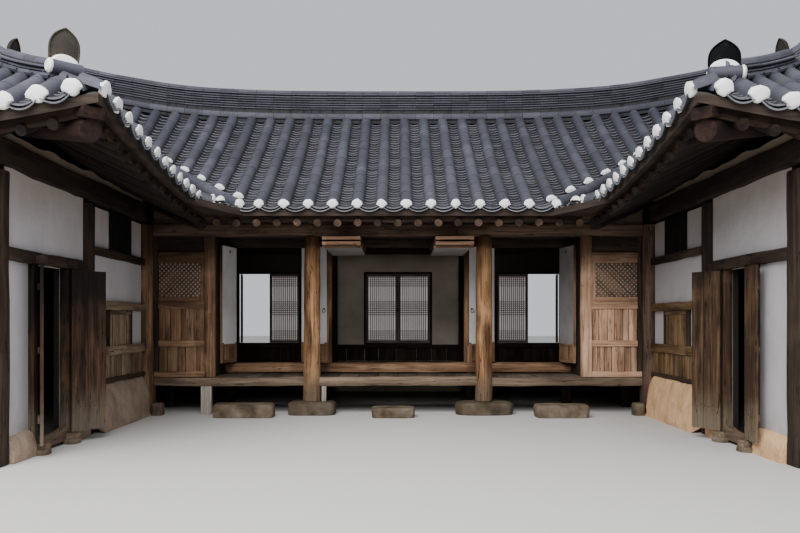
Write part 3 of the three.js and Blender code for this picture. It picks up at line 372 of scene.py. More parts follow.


# Tiles and lime: dark, mid and pale clay, and for the shields the moss and the shine.
# The blue cast of these clays is partly painted reflection of the sky.
clayFinish("firedClay", (0.019, 0.020, 0.026), (0.054, 0.056, 0.072), (0.115, 0.117, 0.146))
clayFinish("darkEndClay", (0.014, 0.015, 0.017), (0.034, 0.035, 0.038), (0.085, 0.083, 0.080))
# Its dark and mid stops are painted shade for the troughs between the cover rows; its pale stop is the lips'
# clay.
clayFinish("channelClay", (0.007, 0.007, 0.008), (0.022, 0.022, 0.026), (0.165, 0.167, 0.190))
# Shields: the near-black end of this clay is painted shade, used for the backlit shield at the right corner.
clayFinish("shieldClay", (0.003, 0.0035, 0.004), (0.036, 0.031, 0.026), (0.080, 0.070, 0.058),
           (0.015, 0.015, 0.012), 0.06)
limeFinish("eaveLime", (0.93, 0.92, 0.91), (0.52, 0.49, 0.45), 0.02)
# The ridges' mortar is painted near-black: painted shade under the bottom roll.
limeFinish("ridgeMortar", (0.040, 0.040, 0.042), (0.016, 0.016, 0.018), 0.14)

# Timbers: dark, mid and pale colour, depth of the checks, wear; then, where a piece has them, the grey
# of its foot, the heights between which smoke and painted shade blacken it, and the top of the grey.
timbers = {
    "darkBeam": ((0.015, 0.010, 0.007), (0.042, 0.027, 0.019), (0.105, 0.068, 0.045), 0.8, 0.35),
    "frontBeamWood": ((0.028, 0.017, 0.012), (0.108, 0.067, 0.047), (0.200, 0.128, 0.086), 0.8, 0.4),
    # Rafters and eave boards: dark wood, darkened further to near-black as painted shade under the eave.
    "rafterWood": ((0.005, 0.004, 0.003), (0.015, 0.009, 0.006), (0.042, 0.026, 0.017), 0.6, 0.3),
    "eaveWood": ((0.007, 0.004, 0.003), (0.021, 0.012, 0.007), (0.056, 0.034, 0.019), 0.6, 0.4),
    "columnWood": ((0.050, 0.022, 0.011), (0.275, 0.136, 0.058), (0.520, 0.310, 0.155), 0.9, 0.6,
                   (0.105, 0.080, 0.056), (2.42, 2.58)),
    "screenWood": ((0.050, 0.026, 0.014), (0.250, 0.136, 0.074), (0.470, 0.290, 0.170), 0.7, 0.5,
                   None, (2.05, 2.55)),
    # A lighter copy of the screen wood: painted light, for the lit right screen and the lifted doors' lit
    # edges.
    "screenPale": ((0.150, 0.073, 0.040), (0.600, 0.360, 0.225), (0.800, 0.565, 0.390), 0.6, 0.5,
                   None, (2.0, 2.5)),
    "hipWood": ((0.004, 0.002, 0.002), (0.016, 0.007, 0.005), (0.042, 0.019, 0.013), 0.6, 0.3),
    "rafterEndWood": ((0.028, 0.017, 0.012), (0.082, 0.050, 0.034), (0.170, 0.112, 0.078), 0.6, 0.5),
    # Near-black wood for the loft hatch: painted shade under the eave.
    "sootWood": ((0.0015, 0.0014, 0.0013), (0.0050, 0.0042, 0.0036), (0.013, 0.010, 0.008), 0.4, 0.2),
    "paleWood": ((0.20, 0.17, 0.14), (0.45, 0.39, 0.33), (0.62, 0.56, 0.49), 0.5, 0.4),
    "windowWood": ((0.090, 0.078, 0.070), (0.260, 0.235, 0.215), (0.400, 0.365, 0.335), 0.4, 0.4),
    "plankDark": ((0.010, 0.006, 0.005), (0.066, 0.034, 0.018), (0.205, 0.120, 0.062), 0.9, 0.6,
                  (0.165, 0.132, 0.098), (1.20, 1.80), 0.85),
    "plankGold": ((0.011, 0.006, 0.004), (0.070, 0.036, 0.018), (0.210, 0.122, 0.062), 0.9, 0.6,
                  (0.185, 0.142, 0.096), (1.75, 2.25), 0.80),
    "boardGrey": ((0.060, 0.042, 0.028), (0.290, 0.208, 0.130), (0.480, 0.365, 0.250), 0.8, 0.5),
    "boardGold": ((0.032, 0.018, 0.008), (0.156, 0.091, 0.042), (0.330, 0.215, 0.112), 0.8, 0.5),
    "floorWood": ((0.064, 0.042, 0.027), (0.180, 0.126, 0.084), (0.305, 0.230, 0.162), 0.9, 0.5),
    "shadeBoards": ((0.040, 0.030, 0.022), (0.105, 0.082, 0.061), (0.175, 0.142, 0.108), 0.8, 0.4),
}
for name, looks in timbers.items():
    timberFinish(name, *looks)

# Walls: clean and stained lime, and the way that the limed face looks.
limed, limedStain = (0.58, 0.555, 0.58), (0.42, 0.35, 0.285)
plasterFinish("plasterLeft", (0.56, 0.535, 0.555), (0.40, 0.33, 0.265), outward=(0, 1))
# The right walls' plaster is a darker copy of the left's: painted shade from the eave.
plasterFinish("plasterRightPaintedShade", (0.47, 0.445, 0.455), (0.34, 0.28, 0.22), outward=(0, -1))
plasterFinish("outerPlasterLeft", limed, limedStain, outward=(0, -1))
plasterFinish("outerPlasterRight", limed, limedStain, outward=(0, 1))
plasterFinish("endPlaster", limed, limedStain, outward=(1, -1))
plasterFinish("stripPlaster", limed, limedStain)
# Dark tan plaster between the rafters and on the wings' strips: stained, and darkened further as painted
# shade under the rafters; its stain near the strip's top also paints the rafters' shadow.
plasterFinish("smokedPlaster", (0.30, 0.245, 0.185), (0.19, 0.15, 0.11), 2.9, (0.2, 0.17, 0.14))
# Near-black plaster for the inner wall: painted shade.
plasterFinish("lintelPaintedShade", (0.060, 0.050, 0.040), (0.035, 0.029, 0.023), 2.6, (0.05, 0.04, 0.03))
rearWallFinish("rearPlaster", limed, (0.72, 0.63, 0.51), (0.50, 0.42, 0.33))
earthFinish("ochreEarth", (0.70, 0.445, 0.245), (0.49, 0.300, 0.158), (0.74, 0.54, 0.35))
earthFinish("greyEarth", (0.36, 0.27, 0.20), (0.20, 0.15, 0.115), (0.46, 0.37, 0.28))
stoneFinish("fieldStone", (0.142, 0.105, 0.070), (0.055, 0.043, 0.031), (0.22, 0.19, 0.15))
paperFinish("windowPaper", (0.70, 0.66, 0.65), (0.54, 0.49, 0.44), 0.36)
paperFinish("ventPaper", (0.580, 0.540, 0.500), (0.400, 0.355, 0.315))
paperFinish("doorPaperFace", (0.74, 0.72, 0.73), (0.60, 0.56, 0.53))
# A darker copy of the door paper: painted shade, for paper that faces away from the light.
paperFinish("dimPaper", (0.290, 0.270, 0.262), (0.190, 0.172, 0.160))
ironFinish("blackIron", (0.022, 0.020, 0.019), (0.085, 0.045, 0.026))
roofBodyFinish("roofBody")
print("finishes are mixed")


# What one piece is made of, while it is being made.
class Stock:
    def __init__(self):
        self.points, self.faces, self.tones, self.grains, self.slots = [], [], [], [], []

    def add(self, points, faces, tone=0.5, grain=None, slot=0):
        base = len(self.points)
        self.points += [tuple(p) for p in points]
        self.faces += [[base + i for i in face] for face in faces]
        self.tones += [tone] * len(points)
        self.grains += [tuple(g) for g in (grain or points)]
        self.slots += [slot] * len(faces)

    # Rings of equally many points, joined one to the next.
    def loft(self, rings, tone=0.5, grain=None, slot=0, capped=True, closed=True):
        count = len(rings[0])
        across = count if closed else count - 1
        points = [p for ring in rings for p in ring]
        faces = []
        for i in range(len(rings) - 1):
            for j in range(across):
                a, b = i * count + j, i * count + (j + 1) % count
                faces.append((a, b, b + count, a + count))
        if capped:
            faces.append(tuple(range(count))[::-1])
            faces.append(tuple(range(len(points) - count, len(points))))
        self.add(points, faces, tone, grain, slot)

    # The same from one list of points, so many to a ring.
    def strand(self, points, count, tone=0.5, grain=None, slot=0):
        rings = [points[i:i + count] for i in range(0, len(points), count)]
        self.loft(rings, tone, grain, slot)


creaseAngle = 38  # degrees between two faces, above which their edge stays sharp


# One object of the scene. Its finishes are named in one line, in the order of the slots.
def makePiece(name, stock, finishes, body="house", replaced=()):
    mesh = bpy.data.meshes.new(name)
    mesh.from_pydata([(x, y + frontY, z) for x, y, z in stock.points], [], stock.faces)
    for finish in finishes.split():
        mesh.materials.append(bpy.data.materials[finish])
    mesh.polygons.foreach_set("material_index", stock.slots)
    mesh.attributes.new("tone", "FLOAT", "POINT").data.foreach_set("value", stock.tones)
    grains = [value for grain in stock.grains for value in grain]
    mesh.attributes.new("grain", "FLOAT_VECTOR", "POINT").data.foreach_set("vector", grains)
    shape = bmesh.new()
    shape.from_mesh(mesh)
    bmesh.ops.recalc_face_normals(shape, faces=shape.faces)
    shape.to_mesh(mesh)
    shape.free()
    mesh.polygons.foreach_set("use_smooth", [True] * len(mesh.polygons))
    mesh.set_sharp_from_angle(angle=math.radians(creaseAngle))
    mesh.update()
    piece = bpy.data.objects.new(name, mesh)
    bpy.context.collection.objects.link(piece)
    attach(piece, body)
    if replaced:
        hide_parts(*replaced)
    return piece


def wander(point, size, frequency):
    x, y, z = noise.noise_vector(Vector(point) * frequency)
    return Vector((x, y, z)) * size


# Where the rings of a long piece stand: at its ends, behind a small bevel, and every step between.
def stationsOf(length, bevel, step):
    count = max(2, math.ceil(length / step))
    return [0.0] + [bevel + (length - 2 * bevel) * i / count for i in range(count + 1)] + [length]


# Evenly spaced values from the first to the last, both included.
def steps(first, last, count):
    return [first + (last - first) * i / count for i in range(count + 1)]


# Cosines and sines round a circle, or along a part of one with both its ends.
def arc(count, sweep=math.tau):
    past = 0 if sweep == math.tau else 1
    return [(math.cos(sweep * k / count), math.sin(sweep * k / count)) for k in range(count + past)]


# A hewn beam between two points: rounded corners, wandering faces.
def hewn(stock, start, end, width, height, tone=None, slot=0, rough=0.006, corner=0.22,
         up=(0, 0, 1), step=0.3):
    start, end = Vector(start), Vector(end)
    run = end - start
    length = run.length
    along = run.normalized()
    side = along.cross(Vector(up)).normalized()
    top = side.cross(along)
    if tone is None:
        tone = dice.uniform(0.3, 0.7)
    shift = dice.uniform(0, 40)
    inset = corner * min(width, height) / 2
    section = []
    for sx, sz in ((1, 1), (-1, 1), (-1, -1), (1, -1)):
        cx, cz = sx * (width / 2 - inset), sz * (height / 2 - inset)
        near = [(cx + sx * inset, cz), (cx + sx * inset * 0.7, cz + sz * inset * 0.7), (cx, cz + sz * inset)]
        section += near if sx * sz > 0 else near[::-1]
    stations = stationsOf(length, min(0.012, length / 8), step)
    rings, grain = [], []
    for t in stations:
        shrink = 0.94 if t in (0.0, length) else 1.0
        for sx, sz in section:
            base = start + along * t + side * sx * shrink + top * sz * shrink
            push = wander(base + Vector((shift, shift, shift)), rough, 2.3)
            push += wander(base + Vector((shift, 0, 0)), rough * 0.35, 11.0)
            rings.append(base + push - along * push.dot(along))
            grain.append((t + shift, sx + shift, sz - shift))
    stock.strand(rings, len(section), tone, grain, slot)


# A pole: round, tapering, slightly bent.
def pole(stock, start, end, startRadius, endRadius, tone=None, slot=0, rough=0.006, sides=14,
         bend=0.01, step=0.25):
    start, end = Vector(start), Vector(end)
    run = end - start
    length = run.length
    along = run.normalized()
    aside = Vector((0.03, 0.02, 1)) if abs(along.z) < 0.9 else Vector((0, 1, 0))
    side = along.cross(aside).normalized()
    top = side.cross(along)
    if tone is None:
        tone = dice.uniform(0.3, 0.7)
    shift = dice.uniform(0, 40)
    lean = dice.uniform(0, math.tau)
    rings, grain = [], []
    for t in stationsOf(length, 0.008, step):
        share = t / length
        radius = startRadius + (endRadius - startRadius) * share
        if t in (0.0, length):
            radius *= 0.93
        bow = bend * math.sin(math.pi * share)
        centre = start + along * t + side * bow * math.cos(lean) + top * bow * math.sin(lean)
        for c, s in arc(sides):
            sx, sz = radius * c, radius * s
            base = centre + side * sx + top * sz
            push = wander(base + Vector((shift, shift, 0)), rough, 3.0)
            rings.append(base + push - along * push.dot(along))
            grain.append((t + shift, sx + shift, sz - shift))
    stock.strand(rings, sides, tone, grain, slot)


def span(a, b):
    return (a + b) / 2, abs(b - a)


# A pair of distances from the middle of the house, on the side asked for.
def mirrored(side, a, b):
    return (side * a, side * b)


# A hewn beam filling a box, along its longest side.
def hewnBox(stock, xs, ys, zs, **more):
    (x, dx), (y, dy), (z, dz) = span(*xs), span(*ys), span(*zs)
    if dz >= dx and dz >= dy:
        hewn(stock, (x, y, z - dz / 2), (x, y, z + dz / 2), dx, dy, up=(0, 1, 0), **more)
    elif dx >= dy:
        hewn(stock, (x - dx / 2, y, z), (x + dx / 2, y, z), dy, dz, **more)
    else:
        hewn(stock, (x, y - dy / 2, z), (x, y + dy / 2, z), dx, dz, **more)


# A plain small bar, such as one strip of a lattice.
def bar(stock, xs, ys, zs, tone=None, slot=0, axis=2):
    (x0, x1), (y0, y1), (z0, z1) = sorted(xs), sorted(ys), sorted(zs)
    points = [(x, y, z) for z in (z0, z1) for x, y in ((x0, y0), (x1, y0), (x1, y1), (x0, y1))]
    faces = [(3, 2, 1, 0), (4, 5, 6, 7), (0, 1, 5, 4), (1, 2, 6, 5), (2, 3, 7, 6), (3, 0, 4, 7)]
    shift = dice.uniform(0, 40)
    order = {0: (0, 1, 2), 1: (1, 0, 2), 2: (2, 0, 1)}[axis]
    grain = [(p[order[0]] + shift, p[order[1]] - shift, p[order[2]] + shift) for p in points]
    stock.add(points, faces, dice.uniform(0.35, 0.65) if tone is None else tone, grain, slot)


# The roof: its eaves, gables and ridges, and the curves that its slopes follow.
roof = {
    "frontEave": -1.1, "rearEave": 4.8, "innerEave": 2.4, "outerEave": 7.2, "endEave": -4.7,
    "gable": 5.3, "endGable": -3.3, "ridgeY": 1.85, "wingRidge": 4.8, "breakY": 0.7,
    "eaveTop": 2.7, "slope": 0.54, "sag": 0.0305, "lift": 0.43, "liftReach": 4.0,
    "sweep": 0.375, "sweepX": 5.2, "sweepPower": 3.4, "mainTop": 2.83, "wingTop": 2.28,
}


def liftAt(x, y):
    total = 0.0
    for cx, cy in ((roof["innerEave"], roof["endEave"]), (roof["outerEave"], roof["endEave"]),
                   (roof["outerEave"], roof["rearEave"])):
        away = max(abs(abs(x) - cx), abs(y - cy))
        total += roof["lift"] * max(0.0, 1 - away / roof["liftReach"]) ** 2
    return total


# How far the main range's eave and ridge sweep up towards its ends.
def sweepOut(outward):
    return (outward / roof["sweepX"]) ** roof["sweepPower"]


def sweepAt(x, y):
    reach = roof["ridgeY"] - roof["frontEave"]

    def share(at):
        inward = at - roof["frontEave"] if at < roof["ridgeY"] else roof["rearEave"] - at
        return max(0.0, inward / reach) ** 3

    outward = abs(x)
    if outward <= roof["gable"]:
        return roof["sweep"] * sweepOut(outward) * share(y)
    if y > roof["ridgeY"]:
        return 0.0
    fade = ((roof["outerEave"] - outward) / (roof["outerEave"] - roof["gable"])) ** 2
    past = max(0.0, 1 - max(0.0, y - roof["breakY"]) / (roof["ridgeY"] - roof["breakY"]))
    return roof["sweep"] * fade * past * share(min(y, roof["breakY"]))


def bedAt(inward):
    rise = max(0.0, inward)
    return roof["eaveTop"] + roof["slope"] * rise + roof["sag"] * rise * rise


def onRoof(x, y, inward):
    return Vector((x, y, bedAt(inward) + liftAt(x, y) + sweepAt(x, y)))


tile = {
    "pitch": 0.3085, "rowPhase": 0.105, "courtPitch": 0.27, "endPitch": 0.277,
    "rowRadius": 0.083, "rowLength": 0.29, "rowSides": 11, "rowRise": 0.048,
    "channelMargin": 0.030, "channelLength": 0.079, "channelSides": 7, "channelCurve": 0.046,
    "lip": 0.020, "plugSize": 0.070, "plugBulge": 0.050, "plugRise": 0.060, "courtPlug": 0.079,
    "courtBulge": 0.025, "endPlug": 0.083,
}


# Directions at a point of a slope: across, down to up, and square to the tiles.
def slopeFrame(place, s, d):
    e = 0.02
    centre = place(s, d)
    along = (place(s, d + e) - place(s, d - e)).normalized()
    across = (place(s + e, d) - place(s - e, d)).normalized()
    square = across.cross(along)
    if square.z < 0:
        square.negate()
    return centre, across, along, square.normalized()


def coverRow(stock, place, s, start, end):
    rowTone = dice.uniform(0.42, 0.62)
    d = start
    while d < end - 0.05:
        stop = min(d + tile["rowLength"], end)
        swell = dice.uniform(0.985, 1.015)
        drift = dice.uniform(-0.003, 0.003)
        rings = []
        radius = tile["rowRadius"]
        for at, size in ((d - 0.008, radius - 0.010), (d - 0.008, radius), (d + 0.02, radius + 0.001),
                         (stop, radius - 0.004)):
            centre, across, along, square = slopeFrame(place, s, at)
            ring = []
            for k in range(tile["rowSides"]):
                angle = -0.25 + (math.pi + 0.5) * k / (tile["rowSides"] - 1)
                ring.append(centre + across * (size * swell * math.cos(angle) + drift)
                            + square * (tile["rowRise"] + size * swell * math.sin(angle)))
            rings.append(ring)
        stock.loft(rings, rowTone + dice.uniform(-0.12, 0.12), capped=False, closed=False)
        d = stop


# Troughs of overlapping tiles: each shows its pale broken lip, then a near-black strip of painted shade
# between the rows.
def bedChannel(stock, place, s, start, end, half):
    count = tile["channelSides"]
    d = start
    rowTone = dice.uniform(0.02, 0.2)
    while d < end:
        stop = min(d + tile["channelLength"], end)
        tilt = dice.uniform(-0.004, 0.004)
        lip = tile["lip"] * dice.uniform(0.75, 1.2)
        rings = []
        for at, rise in ((d, 0.002), (d - 0.004, lip * 0.9), (d + 0.010, lip), (stop, 0.003)):
            centre, across, along, square = slopeFrame(place, s, at)
            ring = []
            for k in range(count):
                u = -1 + 2 * k / (count - 1)
                level = rise + tile["channelCurve"] * u * u + tilt * u
                ring.append(centre + across * half * u + square * level)
            rings.append(ring)
        stock.loft(rings[:3], dice.uniform(0.75, 1.0), slot=3, capped=False, closed=False)
        # The strip behind the lip takes the dark end of the clay: painted shade between the cover rows.
        stock.loft(rings[2:], rowTone + dice.uniform(0.0, 0.2), slot=3, capped=False, closed=False)
        d = stop


# The two end tiles of a channel, one on the other, seen from below at the eave.
def channelEnd(stock, place, s, start, half):
    tilt = dice.uniform(-0.008, 0.008)
    for reach, drop, thick, sag in ((0.052, -0.040, 0.013, 0.066), (0.026, 0.002, 0.013, 0.056)):
        rings = []
        for at in (start - reach, start - reach + 0.010, start + 0.16):
            centre, across, along, square = slopeFrame(place, s, at)
            upper, lower = [], []
            for k in range(9):
                u = -1 + 2 * k / 8
                rise = drop + sag * u * u + tilt * u
                upper.append(centre + across * half * u + square * (rise + thick))
                lower.append(centre + across * half * u + square * rise)
            rings.append(upper + lower[::-1])
        stock.loft(rings[:2], dice.uniform(0.8, 1.0), slot=3)
        stock.loft(rings[1:], dice.uniform(0.1, 0.35), slot=1)


# The lime plug in the end of a cover row.
def limePlug(stock, place, s, start, slot=2, size=None, bulge=None):
    size = size or tile["plugSize"]
    centre, across, along, square = slopeFrame(place, s, start)
    seed = Vector((s * 3.1, start, 7.7 + centre.x))
    bulge = (bulge or tile["plugBulge"]) * dice.uniform(0.85, 1.15)
    squash = dice.uniform(0.88, 1.06)
    rings = []
    for back, swell in ((0.03, 0.9), (0.0, 1.0), (-bulge * 0.55, 1.0), (-bulge * 0.8, 0.88),
                        (-bulge * 0.95, 0.62), (-bulge, 0.3)):
        ring = []
        for wide, tall in arc(18):
            rough = 1 + 0.15 * noise.noise(seed + Vector((wide, tall, back * 9)) * 1.9)
            radius = size * swell * rough * (0.66 if tall < -0.2 else 1.0)
            rise = tile["plugRise"] + radius * tall
            ring.append(centre + across * radius * wide * squash + square * rise + along * back)
        rings.append(ring)
    stock.loft(rings, dice.uniform(0.3, 0.7), slot=slot)


def layTiles(name, stock):
    makePiece(name, stock, "firedClay darkEndClay eaveLime channelClay")


# One slope: cover rows, the channels between them, and their ends at the eave.
def tileSlope(name, place, rows, startOf, endOf, plugged, lipped, pitch, plugSize=None, bulge=None):
    stock = Stock()
    for s in rows:
        start, end = startOf(s), endOf(s)
        if end - start > 0.12:
            coverRow(stock, place, s, start, end)
            if plugged(s):
                limePlug(stock, place, s, start, size=plugSize, bulge=bulge)
        middle = s + pitch / 2
        start, end = startOf(middle), endOf(middle)
        if end - start > 0.05:
            bedChannel(stock, place, middle, start, end, pitch / 2 - tile["channelMargin"])
            if lipped(middle):
                channelEnd(stock, place, middle, start, pitch / 2 - 0.004)
    layTiles(name, stock)


def ranks(low, high, phase, pitch):
    first = math.ceil((low - phase) / pitch)
    last = math.floor((high - phase) / pitch)
    return [phase + i * pitch for i in range(first, last + 1)]


def always(s):
    return True


def fromEave(s):
    return 0.0


# Court side of the main range, between the valleys.
def tileMainFront():
    front = {"reach": 5.15, "valley": 1.92, "plugs": 3.6, "behindWing": 2.55}

    def place(s, d):
        return onRoof(s, roof["frontEave"] + d, d)

    def start(s):
        past = abs(s) - front["valley"]
        if past <= 0:
            return 0.0
        if abs(s) <= roof["wingRidge"]:
            return 0.13 + 0.94 * past
        return front["behindWing"]

    rows = ranks(-front["reach"], front["reach"], tile["rowPhase"], tile["pitch"])
    tileSlope("mainFrontTiles", place, rows, start, lambda s: roof["mainTop"],
              lambda s: abs(s) < front["plugs"], lambda s: start(s) == 0.0, tile["pitch"])


# Rear slope, out to the hips.
def tileMainRear():
    def place(s, d):
        return onRoof(s, roof["rearEave"] - d, d)

    def end(s):
        return roof["mainTop"] if abs(s) <= roof["gable"] else roof["outerEave"] - abs(s)

    rows = ranks(-7.1, 7.1, tile["rowPhase"], tile["pitch"])
    tileSlope("mainRearTiles", place, rows, fromEave, end, always, always, tile["pitch"])


# Outer slope of a wing and the end slope of the main range.
def tileOuter(side, label):
    def place(s, d):
        return onRoof(side * (roof["outerEave"] - d), s, d)

    def end(s):
        if s < roof["endGable"]:
            return s - roof["endEave"]
        if s < roof["breakY"] + 0.3:
            return roof["wingTop"]
        return min(roof["outerEave"] - roof["gable"], roof["rearEave"] - s)

    rows = ranks(roof["endEave"] + 0.12, roof["rearEave"] - 0.1, -0.03, tile["pitch"])
    tileSlope("outerTiles" + label.title(), place, rows, fromEave, end, always, always, tile["pitch"])


# Court side of a wing, down to the eave or to the valley. Across the court's inner corner its rows
# run past the eave line by the reach.
def tileInner(side, label):
    corner = {"reach": 0.4, "from": -1.6, "over": 0.5, "power": 1.4}

    def place(s, d):
        return onRoof(side * (roof["innerEave"] + d), s, d)

    def atEave(s):
        return s <= roof["frontEave"] - 0.1

    def start(s):
        if atEave(s):
            share = max(0.0, min(1.0, (s - corner["from"]) / corner["over"]))
            return -corner["reach"] * share ** corner["power"]
        return s - roof["frontEave"] + 0.13

    def end(s):
        return s - roof["endEave"] + 0.1 if s < roof["endGable"] else roof["wingTop"]

    rows = ranks(roof["endEave"] + 0.06, 1.1, roof["frontEave"], tile["courtPitch"])
    tileSlope("innerTiles" + label.title(), place, rows, start, end, atEave, atEave,
              tile["courtPitch"], tile["courtPlug"], tile["courtBulge"])


# Front slope of a wing, below its gable.
def tileEnd(side, label):
    def place(s, d):
        return onRoof(side * s, roof["endEave"] + d, d)

    def end(s):
        inner, outer = s - roof["innerEave"] + 0.1, roof["outerEave"] - s + 0.1
        return min(inner, outer, roof["endGable"] - roof["endEave"])

    rows = ranks(roof["innerEave"] + 0.12, roof["outerEave"] - 0.12, roof["wingRidge"], tile["endPitch"])
    tileSlope("endTiles" + label.title(), place, rows, fromEave, end, always, always,
              tile["endPitch"], tile["endPlug"])


# A valley, where a wing's slope meets the main range: two cover rows run down it, with a trough
# between them. "aside" is measured from the valley line, positive towards the wing.
def tileValley(side, label):
    valley = {"rows": (-0.283, 0.0), "foot": -0.283, "top": 3.1, "halfTrough": 0.12}

    def place(aside, up):
        x, y = (up + aside) / math.sqrt(2), (up - aside) / math.sqrt(2)
        return onRoof(side * (roof["innerEave"] + x), roof["frontEave"] + y, max(x, y))

    stock = Stock()
    for aside in valley["rows"]:
        coverRow(stock, place, aside, valley["foot"], valley["top"])
        limePlug(stock, place, aside, valley["foot"])
    middle = sum(valley["rows"]) / 2
    bedChannel(stock, place, middle, valley["foot"], valley["top"], valley["halfTrough"])
    channelEnd(stock, place, middle, valley["foot"], valley["halfTrough"])
    layTiles("valleyTiles" + label.title(), stock)


tileMainFront()
tileMainRear()
for side, label in sides:
    tileOuter(side, label)
    tileInner(side, label)
    tileEnd(side, label)
for side, label in sides:
    tileValley(side, label)
print("roof tiles are laid")


# Ridges: courses of tiles laid flat, one tile after another along a line.
ridgeCourse = {"tileLength": 0.29, "gap": 0.004, "flatThick": 0.021}


# A way along a line of points: the place at any length of it, and its whole length.
def pathOf(points):
    lengths = [0.0]
    for a, b in zip(points, points[1:]):
        lengths.append(lengths[-1] + (b - a).length)

    def at(t):
        t = max(0.0, min(lengths[-1], t))
        for i in range(len(points) - 1):
            if t <= lengths[i + 1] or i == len(points) - 2:
                share = (t - lengths[i]) / max(1e-6, lengths[i + 1] - lengths[i])
                return points[i].lerp(points[i + 1], share)
    return at, lengths[-1]


# The level direction square to the way from one point to another.
def sideOf(a, b):
    flat = Vector((b.x - a.x, b.y - a.y, 0)).normalized()
    return Vector((flat.y, -flat.x, 0))


def courseTiles(stock, at, length, section, shake, tone=(0.4, 0.75)):
    count = max(1, round(length / ridgeCourse["tileLength"]))
    for i in range(count):
        t0 = length * i / count + ridgeCourse["gap"] / 2
        t1 = length * (i + 1) / count - ridgeCourse["gap"] / 2
        a, b = at(t0), at(t1)
        side = sideOf(a, b)
        off = side * dice.uniform(-shake, shake) + Vector((0, 0, dice.uniform(-shake, shake) * 0.4))
        tip = dice.uniform(-shake, shake) * 0.5
        rings = [[p + off + side * u + Vector((0, 0, v + lean)) for u, v in section]
                 for p, lean in ((a, -tip), (b, tip))]
        stock.loft(rings, dice.uniform(*tone))


def rollSection(half, low, height, bulge):
    points = []
    for side in (1, -1):
        for k in range(5):
            angle = -math.pi / 2 + math.pi * k / 4
            reach = half - bulge + bulge * math.cos(angle)
            points.append((side * reach, low + height / 2 + height / 2 * math.sin(angle) * side))
    return points


# A whole ridge: its mortar core, rolls, bed, flat courses and the cover tiles on top.
def ridgeStack(stock, points, ridge):
    at, length = pathOf(points)
    level = 0.0
    half = ridge["width"] / 2
    core = ridge["rolls"] * ridge["roll"] + ridge["bed"] + ridge["flats"] * ridge["flat"]
    inner = half - 0.030
    rings = []
    count = max(2, round(length / 0.3))
    for i in range(count + 1):
        side = sideOf(at(length * i / count - 0.01), at(length * i / count + 0.01))
        centre = at(length * i / count)
        rings.append([centre + side * u + Vector((0, 0, v))
                      for u, v in ((inner, -0.05), (inner, core), (-inner, core), (-inner, -0.05))])
    # The core takes the near-black ridge mortar: painted shade beneath the rolls.
    stock.loft(rings, 0.5, slot=1)
    for _ in range(ridge["rolls"]):
        courseTiles(stock, at, length, rollSection(half + 0.012, level, ridge["roll"] - 0.005, 0.040), 0.002)
        level += ridge["roll"]
    level += ridge["bed"]
    for index in range(ridge["flats"]):
        last = index == ridge["flats"] - 1
        reach = half - 0.006 + (0.016 if last else 0.0)
        thick = ridgeCourse["flatThick"]
        section = [(reach, level), (reach + 0.003, level + thick * 0.6), (reach * 0.6, level + thick),
                   (-reach * 0.6, level + thick), (-reach - 0.003, level + thick * 0.6), (-reach, level)]
        courseTiles(stock, at, length, section, 0.003, tone=(0.85, 1.0) if last else (0.5, 0.95))
        level += ridge["flat"]
    size = ridge["cap"]
    cap = [(size * c, level + size * 0.95 * s) for c, s in arc(8, math.pi)]
    cap = [(size * 1.15, level - 0.012)] + cap + [(-size * 1.15, level - 0.012)]
    courseTiles(stock, at, length, cap, 0.002, tone=(0.4, 0.8))
    return level + size


shield = {"lean": 0.16, "point": 2.8, "tone": 0.45, "roll": 0.050, "sink": 0.075}


# The end of a low ridge: a broad shield tile that leans out, a lime fill, and a cover tile laid
# across below it, plugged at its outer end, or at both.
def endShield(stock, place, heading, height, width, plugSide=0, **changes):
    look = {**shield, **changes}
    radius, sink = look["roll"], look["sink"]
    place = Vector(place)
    out = Vector((math.cos(heading), math.sin(heading), 0))
    side = Vector((-out.y, out.x, 0))
    up = Vector((0, 0, 1))
    outline = []
    for k in range(29):
        t = (1 - abs(1 - k / 14)) ** 0.8
        reach = width / 2 * (1 - t ** look["point"]) * (1 if k < 14 else -1)
        outline.append((reach, height * (0.32 + 0.68 * t)))
    wide, narrow = width / 2 * 0.96, width / 2 * 0.72
    outline += [(-wide, height * 0.1), (-narrow, 0.0), (0.0, -0.02), (narrow, 0.0), (wide, height * 0.1)]

    def layer(scale, depth):
        middle = height * 0.45
        return [place + side * u * scale + up * (middle + (v - middle) * scale)
                + out * (depth + look["lean"] * (middle + (v - middle) * scale)) for u, v in outline]

    layers = ((0.96, -0.03), (1.0, 0.0), (0.94, 0.006), (0.87, -0.006), (0.55, 0.004), (0.2, 0.010))
    stock.loft([layer(*each) for each in layers], look["tone"], slot=4)
    # Lime between the shield and the cross tile.
    rings = []
    for depth, scale in ((-0.10, 1.0), (0.03, 1.0), (0.05, 0.85)):
        rings.append([place + out * depth + side * width * 0.46 * scale * c
                      + up * (0.04 - sink + 0.085 * scale * s) for c, s in arc(14, math.pi)])
    stock.loft(rings, 0.6, slot=3)

    def crossRing(reach, direction=1, scale=1.0):
        return [place + out * (radius - 0.015 + radius * scale * c) + side * reach * direction
                + up * (radius * scale * s - sink) for c, s in arc(14)]

    half = width * 0.5
    stock.loft([crossRing(-half + half * i) for i in range(3)], 0.6)
    for end in ((-1, 1) if plugSide == 0 else (plugSide,)):
        plug = ((half - 0.015, 0.98), (half + 0.012, 1.04), (half + 0.028, 0.75))
        stock.loft([crossRing(reach, end, scale) for reach, scale in plug], 0.6, slot=3)


# A cover tile down the very corner of a hip, with its lime plug.
def hipFoot(stock, cornerX, cornerY, inX, inY, reach):
    def place(s, d):
        return onRoof(cornerX + inX * d - inY * s, cornerY + inY * d + inX * s, d)

    coverRow(stock, place, 0.0, -0.03, reach)
    limePlug(stock, place, 0.0, -0.03, slot=3, size=0.088)


